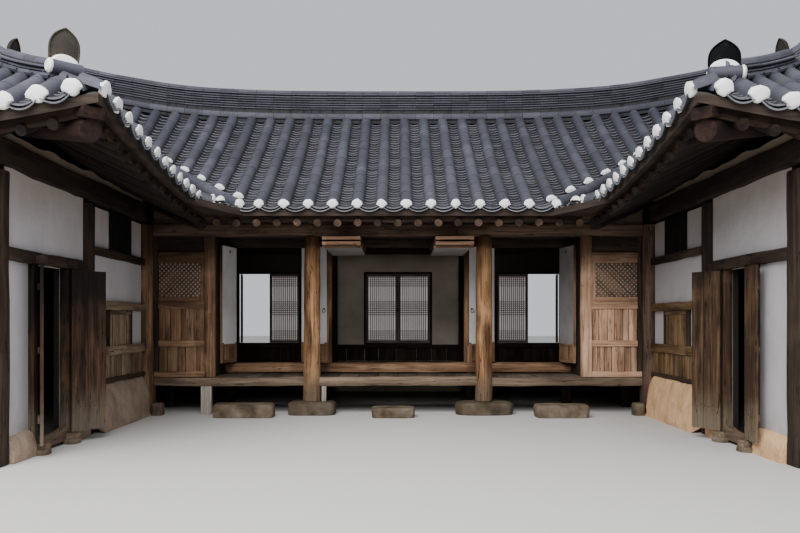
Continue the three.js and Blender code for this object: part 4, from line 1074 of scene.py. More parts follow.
# What each kind of ridge is stacked from, and how the wings' hip ends differ from side to side.
ridges = {
    "finishes": "firedClay ridgeMortar darkEndClay eaveLime shieldClay",
    "main": {"seat": 0.072, "width": 0.30, "rolls": 1, "roll": 0.118, "bed": 0.052, "flats": 7,
             "flat": 0.038, "cap": 0.075, "reach": 5.42},
    "wing": {"seat": 0.045, "width": 0.27, "rolls": 1, "roll": 0.10, "bed": 0.04, "flats": 4,
             "flat": 0.036, "cap": 0.07, "rearEnd": 1.62, "upturn": 0.15},
    "low": {"seat": 0.05, "width": 0.22, "rolls": 1, "roll": 0.07, "bed": 0.0, "flats": 2,
            "flat": 0.036, "cap": 0.064},
    "vergeIn": 0.13, "vergeFoot": 1.9, "hipTop": 1.86, "hipFoot": 0.10,
    "corner": {-1: {"inset": 0.45, "drop": 0.03, "turn": 0.0, "point": 3.2, "tone": 0.7,
                    "height": 0.30, "sink": 0.055},
               # The right corner's shield takes tone 0.0, the near-black end of its clay: painted shade, as
               # it stands backlit.
               1: {"inset": 0.33, "drop": 0.10, "turn": 0.6, "point": 3.0, "tone": 0.0,
                   "height": 0.27, "sink": 0.020}},
}


def lowRidge(stock, places):
    line = []
    for x, y, inward in places:
        point = onRoof(x, y, inward)
        point.z += ridges["low"]["seat"]
        line.append(point)
    return line[-1], ridgeStack(stock, line, ridges["low"])


def makeMainRidge():
    main = ridges["main"]
    stock = Stock()
    points = []
    for x in steps(-main["reach"], main["reach"], 60):
        inside = max(-roof["gable"], min(roof["gable"], x))
        z = onRoof(inside, roof["ridgeY"], roof["mainTop"]).z + main["seat"]
        z += roof["sweep"] * (sweepOut(abs(x)) - sweepOut(abs(inside)))
        points.append(Vector((x, roof["ridgeY"], z)))
    height = ridgeStack(stock, points, main)
    for side in (-1, 1):
        heading = 0.0 if side > 0 else math.pi
        tip = points[-1].copy() if side > 0 else points[0].copy()
        tip.x -= side * 0.06
        endShield(stock, tip + Vector((0, 0, height - 0.10)), heading, 0.32, 0.30)
        # Verge ridges down the gables, and the hips from their feet.
        vergeX = side * (roof["gable"] - ridges["vergeIn"])
        for foot, direction in ((roof["frontEave"] + ridges["vergeFoot"], -1),
                                (roof["rearEave"] - ridges["vergeFoot"], 1)):
            places = []
            for y in steps(roof["ridgeY"], foot + direction * 0.02, 8):
                inward = min(y - roof["frontEave"], roof["rearEave"] - y, roof["mainTop"])
                places.append((vergeX, y, inward))
            end, rise = lowRidge(stock, places)
            endShield(stock, end + Vector((0, direction * -0.03, rise - 0.08)),
                      math.pi / 2 * direction, 0.25, 0.23)
        places = [(side * (roof["outerEave"] - d), roof["rearEave"] - d, d)
                  for d in steps(ridges["hipTop"], ridges["hipFoot"], 8)]
        end, rise = lowRidge(stock, places)
        endShield(stock, end + Vector((-side * 0.03, -0.03, rise - 0.08)), math.atan2(1, side), 0.27, 0.25)
        hipFoot(stock, side * roof["outerEave"], roof["rearEave"], -side, -1, 0.3)
    makePiece("mainRidgeCourses", stock, ridges["finishes"], replaced=("main_ridge",))


def makeWingRidge(side, label):
    wing = ridges["wing"]
    stock = Stock()
    gableY = roof["endGable"] + ridges["vergeIn"]
    line = []
    for i in range(25):
        y = gableY - 0.08 + (wing["rearEnd"] - gableY) * i / 24
        inward = max(roof["wingTop"], y - roof["frontEave"])
        point = onRoof(side * roof["wingRidge"], y, inward)
        point.z += wing["seat"] + wing["upturn"] * (1 - i / 24) ** 3
        line.append(point)
    rise = ridgeStack(stock, line, wing)
    endShield(stock, line[0] + Vector((0, 0.04, rise - 0.10)), -math.pi / 2, 0.32, 0.28)
    hipLength = roof["endGable"] - roof["endEave"]
    foot = ridges["corner"][side]
    for eaveX, direction in ((roof["innerEave"], 1), (roof["outerEave"], -1)):
        # The verge down the gable, then the hip from its foot to the eave's corner.
        footX = eaveX + direction * hipLength
        places = [(side * x, gableY, min(abs(x - eaveX), roof["wingTop"]))
                  for x in steps(roof["wingRidge"], footX, 5)]
        end, top = lowRidge(stock, places)
        heading = math.pi if direction * side > 0 else 0.0
        endShield(stock, end + Vector((math.cos(heading) * -0.03, 0, top - 0.08)), heading, 0.25, 0.23)
        places = [(side * (eaveX + direction * d), roof["endEave"] + d, d)
                  for d in steps(hipLength, foot["inset"], 5)]
        end, top = lowRidge(stock, places)
        heading = math.atan2(-1, -side * direction) + foot["turn"] * side * direction
        endShield(stock, end + Vector((side * direction * 0.03, 0.03, top - foot["drop"])), heading,
                  foot["height"], 0.27, plugSide=side * direction, point=foot["point"],
                  tone=foot["tone"], roll=0.060, sink=foot["sink"])
    makePiece("wingRidgeCourses_" + label, stock, ridges["finishes"],
              replaced=("wing_ridge_" + label,))


makeMainRidge()
for side, label in sides:
    makeWingRidge(side, label)
print("ridges are stacked")

# Eaves: rafters, the board along their ends, and the beams that carry them.
eave = {
    "radius": 0.055, "pitch": 0.2565, "under": 2.62, "slope": 0.465, "lip": 0.1, "clear": 0.014,
    "inset": 0.085, "boardIn": 0.105, "boardThick": 0.032, "boardLow": 0.062, "boardHigh": 0.032,
    "first": 0.15, "hipDrop": 0.115, "hipEnd": 1.28,
}


# The underside of the eave, at a distance in from its edge.
def underEave(inward):
    return eave["under"] + eave["slope"] * (inward - eave["lip"])


def rafterAt(x, y, ux, uy, inward):
    px, py = x + ux * inward, y + uy * inward
    return Vector((px, py, underEave(inward) - eave["clear"] - eave["radius"] + liftAt(px, py)))


def rafterPole(stock, x, y, ux, uy, start, end, side=1):
    a, b = rafterAt(x, y, ux, uy, start), rafterAt(x, y, ux, uy, end)
    a.x *= side
    b.x *= side
    thin = dice.uniform(0.88, 1.0)
    pole(stock, a, b, eave["radius"] * thin, eave["radius"] * dice.uniform(0.93, 1.04), slot=1,
         tone=dice.uniform(0.15, 0.85), rough=0.003, sides=12, bend=0.004, step=0.4)


def eaveBoard(stock, points, ux, uy, side=1):
    rings, grain = [], []
    count = 60
    shift = dice.uniform(0, 30)
    for i in range(count + 1):
        share = i / count
        x = points[0][0] + (points[1][0] - points[0][0]) * share
        y = points[0][1] + (points[1][1] - points[0][1]) * share
        z = eave["under"] + liftAt(x, y) + 0.006 * math.sin(share * 23) + 0.004 * math.sin(share * 61)
        for inward, rise in ((0.0, -1), (1.0, -1), (1.0, 1), (0.0, 1)):
            reach = eave["boardIn"] + inward * eave["boardThick"]
            level = z - eave["boardLow"] if rise < 0 else z + eave["boardHigh"]
            rings.append((side * (x + ux * reach), y + uy * reach, level))
            grain.append((share * 6 + shift, inward * 0.05 + shift, rise * 0.05))
    stock.strand(rings, 4, 0.85, grain, 2)


# The two ends of a hip rafter, which runs in from the corner of two eaves.
def hipEnds(side, x, y, ux, uy, near):
    ends = []
    for inward in (near, eave["hipEnd"]):
        z = eave["under"] - eave["hipDrop"] + eave["slope"] * (inward - eave["lip"])
        z += roof["lift"] * max(0.0, 1 - inward / roof["liftReach"]) ** 2
        ends.append((side * (x + ux * inward), y + uy * inward, z))
    return ends


# Clay and lime pressed between the rafters, over a beam or behind the eave board.
def fillBetween(stock, x, y, ux, uy, inward, width, height, slot, side=1):
    centre = rafterAt(x, y, ux, uy, inward) + Vector((0, 0, eave["radius"] - height * 0.3))
    wide = width * dice.uniform(0.6, 1.0) / 2
    tall = height * dice.uniform(0.6, 1.1)
    tip = dice.uniform(-0.3, 0.3)
    run = Vector((-uy, ux, 0))
    rings = []
    for depth in (-0.02, 0.03):
        middle = centre + Vector((ux, uy, 0)) * depth
        outline = [(-1, 0.1), (-0.5, -0.35), (tip, -0.6), (0.6, -0.3), (1, 0.15), (0.7, 0.55), (-0.6, 0.6)]
        ring = []
        for u, v in outline:
            p = middle + run * u * wide + Vector((0, 0, v * tall))
            ring.append((p.x * side, p.y, p.z))
        rings.append(ring)
    stock.loft(rings, 0.5, slot=slot)


def centredSteps(reach, pitch):
    count = int(reach // pitch)
    return [i * pitch for i in range(-count, count + 1)]


def makeMainEave():
    beam = {"reach": 3.405, "joints": (-1.19, 1.21), "low": 2.48, "high": 2.645, "depth": 0.17,
            "purlinRadius": 0.095, "purlinZ": 2.882, "rafterEnd": 1.62, "endDisc": 0.052}
    stock = Stock()
    reach = beam["reach"]
    middle = (beam["low"] + beam["high"]) / 2
    cuts = (-reach, *beam["joints"], reach)
    for a, b in zip(cuts, cuts[1:]):
        hewn(stock, (a, 0, middle), (b, 0, middle), beam["depth"], beam["high"] - beam["low"], tone=0.62,
             rough=0.009, step=0.25)
    hewn(stock, (-reach, 0, 2.72), (reach, 0, 2.72), 0.09, 0.17, tone=0.3, rough=0.006)
    pole(stock, (-reach, 0, beam["purlinZ"]), (reach, 0, beam["purlinZ"]), beam["purlinRadius"],
         beam["purlinRadius"], tone=0.4, sides=18, bend=0.004)
    front = roof["frontEave"]
    for x in centredSteps(reach - 0.26, eave["pitch"]):
        past = max(0.0, abs(x) - roof["innerEave"])
        start = past + 0.22 if past > 0 else eave["inset"] + dice.uniform(-0.012, 0.012)
        rafterPole(stock, x, front, 0, 1, start, beam["rafterEnd"])
        a, b = rafterAt(x, front, 0, 1, start - 0.003), rafterAt(x, front, 0, 1, start + 0.01)
        pole(stock, a, b, beam["endDisc"], beam["endDisc"], dice.uniform(0.0, 0.95), 4, 0.003, 14, 0.0)
        if abs(x) < 2.1:
            fillBetween(stock, x + eave["pitch"] / 2, front, 0, 1, 1.06, 0.15, 0.10, 3)
    eaveBoard(stock, ((-2.34, front), (2.34, front)), 0, 1)
    # Short posts between the beam and the purlin.
    for x in (-2.4, -1.2, 0.0, 1.2, 2.4):
        hewn(stock, (x, 0, 2.64), (x, 0, 2.80), 0.16, 0.12, up=(0, 1, 0), tone=0.35)
    makePiece("mainEave", stock, "frontBeamWood rafterWood eaveWood smokedPlaster rafterEndWood",
              replaced=("front_beam",))


def makeCourtEave(side, label):
    plate = {"x": 3.6, "width": 0.22, "front": -4.15, "rear": 0.12, "lap": (-2.05, -1.72),
             "rafterEnd": 1.6, "stripX": (3.535, 3.60), "stripLow": 2.905, "stripHigh": 0.10}
    inner, front = roof["innerEave"], roof["frontEave"]
    stock = Stock()
    x = side * plate["x"]
    lapFront, lapRear = plate["lap"]
    hewn(stock, (x, plate["front"], 2.815), (x, lapRear, 2.79), plate["width"], 0.235, tone=0.05,
         rough=0.018, step=0.22)
    hewn(stock, (x, lapFront, 2.80), (x, plate["rear"], 2.80), plate["width"] * 0.96, 0.25, tone=0.05,
         rough=0.014, step=0.22)
    for i in range(1, 32):
        y = roof["endEave"] + eave["first"] + i * eave["pitch"]
        start, end = eave["inset"], plate["rafterEnd"]
        if y < roof["endGable"] + 0.15:
            end = max(0.3, y - roof["endEave"] - 0.12)
        elif y < front - 0.05:
            start += dice.uniform(-0.02, 0.02)
        else:
            start = y - front + 0.22
        if y < 0.0:
            rafterPole(stock, inner, y, 1, 0, start, end, side)
        middle = y + eave["pitch"] / 2
        if middle < front - 0.4 and dice.random() < 0.86:
            fillBetween(stock, inner, middle, 1, 0, 0.165, 0.11, 0.06, 5, side)
    # The lime-washed strip between the plate and the rafters.
    rings, grain = [], []
    for i, y in enumerate(steps(plate["front"], plate["rear"], 30)):
        low = plate["stripLow"] + 0.01 * math.sin(i * 1.7)
        inward = min(1.16, y - roof["endEave"])
        high = underEave(inward) + liftAt(inner + 1.16, y) - 0.03
        high = min(high, low + plate["stripHigh"] + 0.012 * math.sin(i * 0.9))
        a, b = plate["stripX"]
        for px, z in ((a, low), (b, low), (b, high), (a, high)):
            rings.append((side * px, y, z))
            grain.append((y, px, z))
    # Its finish darkens it as painted shade under the rafters.
    stock.strand(rings, 4, 0.5, grain, 3)
    # A round hip rafter at the front, and a squared one above it, which reaches further out.
    ends = hipEnds(side, inner, roof["endEave"], 1, 1, 0.05)
    lower = [Vector(p) + Vector((side * 0.05, 0.05, -0.055)) for p in ends]
    pole(stock, *lower, 0.098, 0.098, slot=4, tone=0.55, rough=0.005, sides=20)
    upper = [Vector(p) + Vector((0, 0, 0.075)) for p in ends]
    hewn(stock, *upper, 0.19, 0.10, slot=4, tone=0.6, rough=0.008)
    # The valley rafter at the inner corner.
    pole(stock, (side * 2.5, -1.0, 2.535), (side * 3.64, 0.14, 3.035), 0.085, 0.09, slot=1, sides=14)
    eaveBoard(stock, ((inner, roof["endEave"] + 0.12), (inner, front - 0.06)), 1, 0, side)
    makePiece("courtEave_" + label, stock, "darkBeam rafterWood eaveWood smokedPlaster hipWood eaveLime",
              replaced=("court_eave_" + label,))


# Rafters and eave boards on the sides that the court does not show.
def makeFarEaves():
    far = {"rear": 5.9, "boardEnd": 7.05, "deepest": 1.35, "frontDeepest": 1.3, "shortest": 0.25}
    finishes = "darkBeam rafterWood eaveWood"
    rear, end, inner, outer = roof["rearEave"], roof["endEave"], roof["innerEave"], roof["outerEave"]
    stock = Stock()
    for x in centredSteps(far["rear"], eave["pitch"]):
        rafterPole(stock, x, rear, 0, -1, eave["inset"], far["deepest"])
    eaveBoard(stock, ((-far["boardEnd"], rear), (far["boardEnd"], rear)), 0, -1)
    makePiece("rearRafters", stock, finishes)
    for side, label in sides:
        stock = Stock()
        for i in range(1, 38):
            y = end + eave["first"] + i * eave["pitch"]
            deep = min(y - end - 0.12, rear - y - 0.12, far["deepest"])
            if deep > far["shortest"]:
                rafterPole(stock, outer, y, -1, 0, eave["inset"], deep, side)
        for i in range(1, 18):
            x = inner + eave["first"] + i * eave["pitch"]
            deep = min(x - inner - 0.12, outer - x - 0.12, far["frontDeepest"])
            if deep > far["shortest"]:
                rafterPole(stock, x, end, 0, 1, eave["inset"], deep, side)
        eaveBoard(stock, ((outer, end + 0.15), (outer, 4.65)), -1, 0, side)
        eaveBoard(stock, ((2.55, end), (far["boardEnd"], end)), 0, 1, side)
        makePiece("wingRafters_" + label, stock, finishes)


makeMainEave()
for side, label in sides:
    makeCourtEave(side, label)
makeFarEaves()
print("eaves are framed")


# A thin straight strip in any direction, such as one bar of a lattice.
def stick(stock, start, end, width, depth, out, tone=None, slot=0):
    start, end, out = Vector(start), Vector(end), Vector(out)
    along = (end - start).normalized()
    side = along.cross(out).normalized() * width / 2
    deep = out.normalized() * depth / 2
    ends = [[p + side + deep, p - side + deep, p - side - deep, p + side - deep] for p in (start, end)]
    shift = dice.uniform(0, 40)
    length = (end - start).length
    grain = [(t + shift, u, v + shift) for t in (0, length)
             for u, v in ((width, depth), (0, depth), (0, 0), (width, 0))]
    stock.loft(ends, dice.uniform(0.4, 0.6) if tone is None else tone, grain, slot)


# Upright boards side by side across a panel that stands in the X-Z or the Y-Z plane.
def boarding(stock, low, high, zs, face, thick, count, plane="xz", slot=0, tones=(0.2, 0.8), side=1,
             rough=0.003):
    edges = [low]
    for i in range(1, count):
        edges.append(low + (high - low) * (i + dice.uniform(-0.16, 0.16)) / count)
    edges.append(high)
    for a, b in zip(edges, edges[1:]):
        back = face + dice.uniform(-0.004, 0.004)
        tone = dice.uniform(*tones)
        if plane == "xz":
            ends, up = [(side * (a + b) / 2, back, z) for z in zs], (0, 1, 0)
        else:
            ends, up = [(side * back, (a + b) / 2, z) for z in zs], (1, 0, 0)
        hewn(stock, *ends, b - a - 0.007, thick, tone, slot, rough, 0.3, up=up)


# Round-edged rock with flat foot: rings of a squarish outline, roughened.
def rock(stock, xs, ys, zs, tone=0.5, slot=0, shrink=0.82, rough=0.02, power=3.2, shoulder=0.55):
    (x, dx), (y, dy) = span(*xs), span(*ys)
    seed = Vector((dice.uniform(0, 50), 0, 0))
    rings = []
    for i in range(9):
        v = i / 8
        scale = 1 - max(0.0, (v - shoulder) / (1 - shoulder)) ** 2.6 * (1 - shrink)
        scale *= 0.97 + 0.03 * math.sin(v * 3)
        z = zs[0] + (zs[1] - zs[0]) * min(1.0, v * 1.04)
        ring = []
        for c, s in arc(40):
            radius = (abs(c) ** power + abs(s) ** power) ** (-1 / power)
            p = Vector((x + dx / 2 * radius * c * scale, y + dy / 2 * radius * s * scale, z))
            push = wander(p + seed, rough, 3.5) + wander(p + seed, rough * 0.4, 14)
            push.z *= 0.5 if 0 < i else 0
            p += push
            p.z = max(p.z, zs[0])
            ring.append(p)
        rings.append(ring)
    stock.loft(rings, tone, slot=slot)


def makeColumnsAndStones():
    column = {"x": 1.2, "foot": 0.1803, "top": 2.4797, "footRadius": 0.121, "topRadius": 0.108}
    for side, label in sides:
        stock = Stock()
        x = side * column["x"]
        pole(stock, (x, 0, column["foot"]), (x, 0, column["top"]), column["footRadius"], column["topRadius"],
             tone=0.55, rough=0.010, sides=32, bend=0.004, step=0.07)
        makePiece("column_" + label, stock, "columnWood",
                  replaced=("front_column_" + label,))
    # Each stone's reach in x, y and z, how far its top shrinks, how square it is, and its tone.
    stones = {
        "plinth_stone_left": ((-1.53, -0.87), (-0.23, 0.23), (0, 0.18), 0.86, 4.4, 0.18),
        "plinth_stone_right": ((0.795, 1.605), (-0.23, 0.23), (0, 0.18), 0.80, 2.7, 0.2),
        "step_stone_left": ((-2.49, -1.67), (-0.52, -0.17), (0, 0.18), 0.96, 7.0, 0.5),
        "step_stone_centre": ((-0.354, 0.227), (-0.52, -0.17), (0, 0.135), 0.96, 7.0, 0.4),
        "step_stone_right": ((1.85, 2.57), (-0.52, -0.17), (0, 0.17), 0.95, 7.0, 0.5),
    }
    for name, (xs, ys, zs, shrink, power, tone) in stones.items():
        stock = Stock()
        rock(stock, xs, ys, zs, tone, shrink=shrink, rough=0.012, power=power, shoulder=0.72)
        makePiece("dressed_" + name, stock, "fieldStone", replaced=(name,))


def makeFloors():
    beam = {"cuts": (-3.405, -1.2, 1.2, 3.405), "tones": (0.5, 0.66, 0.42), "low": 0.394, "high": 0.518,
            "depth": 0.10}
    stock = Stock()
    middle = (beam["low"] + beam["high"]) / 2
    for a, b, tone in zip(beam["cuts"], beam["cuts"][1:], beam["tones"]):
        hewn(stock, (a, 0, middle), (b, 0, middle), beam["depth"], beam["high"] - beam["low"], tone, 0,
             0.014, 0.35, step=0.16)
    hewn(stock, (-2.675, -0.003, 0.004), (-2.675, -0.003, 0.40), 0.148, 0.08, 0.5, 1, 0.004, up=(0, 1, 0))
    hewn(stock, (-1.032, -0.003, 0.181), (-1.032, -0.003, 0.40), 0.064, 0.08, 0.3, 1, 0.003, up=(0, 1, 0))
    makePiece("verandaBeam", stock, "floorWood paleWood", replaced=("floor_beam",))

    veranda = {"half": 3.40, "boards": 24, "front": 0.052, "rear": 0.818, "z": 0.486, "thick": 0.055,
               "columns": (-1.2, 1.2), "notch": 0.14, "notched": 0.135}
    stock = Stock()
    edges = steps(-veranda["half"], veranda["half"], veranda["boards"])
    for a, b in zip(edges, edges[1:]):
        byColumn = any(a - veranda["notch"] < x < b + veranda["notch"] for x in veranda["columns"])
        front = veranda["notched"] if byColumn else veranda["front"]
        x, z = (a + b) / 2, veranda["z"]
        hewn(stock, (x, front, z), (x, veranda["rear"], z), b - a - 0.005, veranda["thick"],
             dice.uniform(0.25, 0.75), 0, 0.002, 0.3)
    makePiece("verandaBoards", stock, "shadeBoards", replaced=("veranda_floor",))

    # The hall's floor: long beams with short boards set between them.
    hall = {"front": 0.995, "rear": 3.575, "beams": (-3.5, -2.4, -1.2, 0.0, 1.2, 2.4, 3.5), "rows": 9,
            "bays": ((-3.46, -2.48), (-2.32, -1.28), (-1.12, -0.08), (0.08, 1.12), (1.28, 2.32),
                     (2.48, 3.46))}
    stock = Stock()
    for x in hall["beams"]:
        width = 0.16 if abs(x) < 3.4 else 0.08
        hewn(stock, (x, hall["front"], 0.52), (x, hall["rear"], 0.52), width, 0.08, None, 0, 0.003)
    deep = (hall["rear"] - hall["front"]) / hall["rows"]
    for a, b in hall["bays"]:
        for i in range(hall["rows"]):
            y = hall["front"] + deep * (i + 0.5)
            hewn(stock, (a - 0.01, y, 0.527), (b + 0.01, y, 0.527), deep - 0.005, 0.062,
                 dice.uniform(0.2, 0.8), 0, 0.002, 0.3)
    makePiece("hallBoards", stock, "shadeBoards", replaced=("hall_floor",))


makeColumnsAndStones()
makeFloors()
print("columns, stones and floors are set")


def makeHallFront():
    front = {
        "height": (0.67, 2.413), "groundPosts": (1.1, 2.545, 3.45), "hingeX": (1.424, 2.476),
        "hingeZ": (0.84, 0.94, 2.15, 2.25),
        # Each post's reach in x and y, its tone, slot and roughness.
        "posts": {"middlePost": ((1.0, 1.2), (0.867, 0.985), 0.62, 1, 0.006),
                  "jambPanel": ((1.2, 1.40), (0.89, 0.96), 0.3, 0, 0.006),
                  "innerJamb": ((1.39, 1.43), (0.868, 0.985), 0.45, 1, 0.002),
                  "outerJamb": ((2.47, 2.62), (0.868, 0.985), 0.4, 1, 0.006)},
    }
    stock = Stock()
    hewn(stock, (-3.54, 0.905, 0.595), (3.54, 0.905, 0.595), 0.165, 0.16, 0.62, 1, 0.010, 0.75, step=0.2)
    hewn(stock, (-2.62, 0.925, 2.47), (2.62, 0.925, 2.47), 0.12, 0.118, 0.4, 0, 0.006)
    for side in (-1, 1):
        for (a, b), ys, tone, slot, rough in front["posts"].values():
            hewnBox(stock, mirrored(side, a, b), ys, front["height"], tone=tone, slot=slot, rough=rough)
        for x in front["groundPosts"]:
            hewn(stock, (side * x, 0.91, 0.003), (side * x, 0.91, 0.53), 0.13, 0.11, 0.3, 0, up=(0, 1, 0))
        for x in front["hingeX"]:
            for z in front["hingeZ"]:
                bar(stock, mirrored(side, x - 0.005, x + 0.006), (0.849, 0.87), (z - 0.006, z + 0.007),
                    0.5, 2)
    makePiece("hallFront", stock, "darkBeam screenWood blackIron", replaced=("inner_frame",))

    # Low boards and slim frames on the rear wall, inside the hall.
    stock = Stock()
    boarding(stock, -3.45, 3.45, (0.565, 0.80), 3.635, 0.022, 22, tones=(0.2, 0.6))
    hewn(stock, (-3.5, 3.62, 0.83), (3.5, 3.62, 0.83), 0.06, 0.07, 0.4, 0, 0.004)
    for x in (-3.5, -1.2, 1.2, 3.5):
        hewn(stock, (x, 3.60, 0.565), (x, 3.60, 3.3), 0.15, 0.09, 0.35, 0, 0.005, up=(0, 1, 0))
    hewn(stock, (-3.5, 3.60, 2.62), (3.5, 3.60, 2.62), 0.09, 0.16, 0.35, 0, 0.006)
    makePiece("hallRearTrim", stock, "darkBeam")


# A diamond lattice between two corners of an upright panel.
def diamondLattice(stock, xs, zs, y, pitch, slot, side=1):
    (x0, x1), (z0, z1) = xs, zs
    width, height = x1 - x0, z1 - z0
    for lean in (1, -1):
        first = -height if lean > 0 else 0.0
        last = width if lean > 0 else width + height
        count = int((last - first) / pitch)
        for i in range(count + 1):
            foot = first + pitch * (i + 0.5)
            start = max(0.0, -foot) if lean > 0 else max(0.0, foot - width)
            stop = min(height, width - foot) if lean > 0 else min(height, foot)
            if stop - start < 0.02:
                continue
            a = (side * (x0 + foot + lean * start), y + lean * 0.004, z0 + start)
            b = (side * (x0 + foot + lean * stop), y + lean * 0.004, z0 + stop)
            stick(stock, a, b, 0.019, 0.012, (0, 1, 0), 0.3, slot)


# Boarded screens with a lattice vent at the veranda's ends; the right one's wood is a lighter copy, as
# painted light.
screen = {
    "latticeX": (2.76, 3.34), "latticeZ": (1.633, 2.109), "pitch": 0.062,
    "left": {"tone": 0.40, "boards": 4, "lowTones": (0.0, 0.45), "wood": 2},
    "right": {"tone": 0.36, "boards": 6, "lowTones": (0.15, 0.75), "wood": 1},
    # Each member's reach in x, z and y, how much paler it is, whether it is black, its roughness.
    "members": {
        "hallPost": ((2.55, 2.70), (0.521, 2.479), (-0.055, 0.045), 0.12, False, 0.008),
        "stile": ((2.70, 2.76), (0.596, 2.175), (-0.03, 0.03), 0.0, False, 0.003),
        "cornerStile": ((3.34, 3.409), (0.521, 2.479), (-0.04, 0.04), 0.05, True, 0.003),
        "ventHead": ((2.70, 3.34), (2.109, 2.26), (-0.04, 0.04), 0.0, False, 0.003),
        "headBoard": ((2.70, 3.40), (2.27, 2.479), (-0.03, 0.04), -0.2, True, 0.006),
        "ventSill": ((2.76, 3.34), (1.575, 1.633), (-0.032, 0.03), 0.0, False, 0.003),
        "upperRail": ((2.70, 3.34), (1.47, 1.575), (-0.042, 0.035), 0.06, False, 0.003),
        "middleRail": ((2.70, 3.34), (0.944, 1.03), (-0.042, 0.035), 0.1, False, 0.003),
        "footRail": ((2.62, 3.40), (0.521, 0.596), (-0.045, 0.04), 0.05, False, 0.003),
    },
}


def makeScreen(side, label):
    look = screen[label]
    wood, boards = look["wood"], look["boards"]
    stock = Stock()
    for (a, b), zs, ys, paler, black, rough in screen["members"].values():
        hewnBox(stock, mirrored(side, a, b), ys, zs, tone=look["tone"] + paler, slot=0 if black else wood,
                rough=rough)
    boarding(stock, 2.70, 3.34, (1.03, 1.47), -0.005, 0.02, boards, "xz", wood, (0.25, 0.9), side)
    boarding(stock, 2.70, 3.34, (0.596, 0.944), -0.005, 0.02, boards + 1, "xz", wood, look["lowTones"], side)
    diamondLattice(stock, screen["latticeX"], screen["latticeZ"], -0.012, screen["pitch"], 2, side)
    bar(stock, mirrored(side, *screen["latticeX"]), (0.004, 0.006), screen["latticeZ"], 0.5, 3)
    # The return wall behind it, beside the hall door.
    boarding(stock, 0.045, 0.84, (0.521, 2.479), 2.625, 0.05, 5, "yz", 0, (0.2, 0.6), side)
    makePiece("screen_" + label, stock, "darkBeam screenPale screenWood ventPaper",
              replaced=("partition_" + label,))


makeHallFront()
for side, label in sides:
    makeScreen(side, label)
print("hall front and screens are up")


# The way that a leaf faces where it hangs, or another direction of it.
def heading(turn, direction=(0, 1, 0)):
    return turn(direction) - turn((0, 0, 0))


# A leaf turned about an upright hinge; "towards" is -1 where it lies the other way from the hinge.
def swing(side, hingeX, hingeY, angle, towards=1):
    c, s = math.cos(angle), math.sin(angle)

    def turn(p):
        x, y, z = p
        x *= towards
        return Vector((side * (hingeX + x * c - y * s), hingeY + x * s + y * c, z))
    return turn


# Upright bars of a papered leaf with three bands of crossing bars. The leaf lies in the X-Z plane
# of its own place; "turn" puts a point of it where the leaf hangs.
def latticeLeaf(stock, turn, xs, zs, ys, bars, bands, stile=0.045, slots=(0, 1, 0), barWide=0.011):
    wood, sheet, rim = slots
    (x0, x1), (z0, z1), (y0, y1) = xs, zs, ys
    middle, thick = (y0 + y1) / 2, y1 - y0

    def piece(a, b, width, depth, tone=None, slot=wood):
        stick(stock, turn(a), turn(b), width, depth, heading(turn), tone, slot)

    for x in (x0 + stile / 2, x1 - stile / 2):
        piece((x, middle, z0), (x, middle, z1), stile, thick, 0.45, rim)
    for z in (z0 + stile / 2, z1 - stile / 2):
        piece((x0 + stile, middle, z), (x1 - stile, middle, z), stile, thick * 0.96, 0.45, rim)
    left, right, foot, top = x0 + stile, x1 - stile, z0 + stile, z1 - stile
    for i in range(bars):
        x = left + (right - left) * (i + 1) / (bars + 1)
        piece((x, middle, foot), (x, middle, top), barWide, thick * 0.7)
    for low, high, count in bands:
        for i in range(count):
            z = low + (high - low) * (i + 0.5) / count
            piece((left, middle, z), (right, middle, z), barWide * 0.95, thick * 0.62)
    x = (left + right) / 2
    piece((x, middle, foot), (x, middle, top), right - left, 0.002, 0.5, sheet)


# The hall's windows. The outer leaf of the left and the right one hangs open.
def makeRearWindows():
    window = {
        "low": 0.8603, "high": 2.2157, "rim": 0.036, "stile": 0.048, "bars": 12, "frame": (3.64, 3.745),
        "leaf": (3.69, 3.725), "pivotY": 3.74, "barWide": 0.014,
        "bands": ((0.945, 1.135, 5), (1.40, 1.68, 7), (1.94, 2.13, 5)),
        # Middle, half width, side of the open leaf and how far it is open.
        "openings": {"left": (-2.4, 0.6, -1, 100), "centre": (0.0, 0.635, 0, 0),
                     "right": (2.43, 0.62, 1, 100)},
    }
    low, high, rim = window["low"], window["high"], window["rim"]
    leafZs = (low + rim + 0.002, high - rim - 0.002)
    for label, (x, half, openSide, angle) in window["openings"].items():
        stock = Stock()
        for way in (-1, 1):
            hewnBox(stock, (x + way * (half - rim), x + way * (half - 0.0004)), window["frame"], (low, high),
                    tone=0.4, rough=0.001)
        for zs in ((low, low + rim), (high - rim, high)):
            hewnBox(stock, (x - half + rim, x + half - rim), window["frame"], zs, tone=0.4, rough=0.001)
        for way in (-1, 1):
            hinge = x + way * (half - rim)
            turn = Vector
            if way == openSide:
                radians = -math.radians(angle) * way
                pivot = Vector((hinge, window["pivotY"], 0))

                def turn(p, radians=radians, pivot=pivot):
                    q = Vector(p) - pivot
                    c, s = math.cos(radians), math.sin(radians)
                    return pivot + Vector((q.x * c - q.y * s, q.x * s + q.y * c, q.z))
            latticeLeaf(stock, turn, sorted((hinge, x + way * 0.002)), leafZs, window["leaf"],
                        window["bars"], window["bands"], window["stile"], (3, 1, 3), window["barWide"])
        if openSide == 0:
            bar(stock, (x - 0.008, x + 0.008), (3.682, 3.69), (low + rim, high - rim), 0.5, 3)
            bar(stock, (x - 0.012, x + 0.012), (3.666, 3.682), (1.49, 1.53), 0.5, 2)
        makePiece("rearWindow_" + label, stock, "darkBeam windowPaper blackIron windowWood",
                  replaced=("rear_window_" + label,))


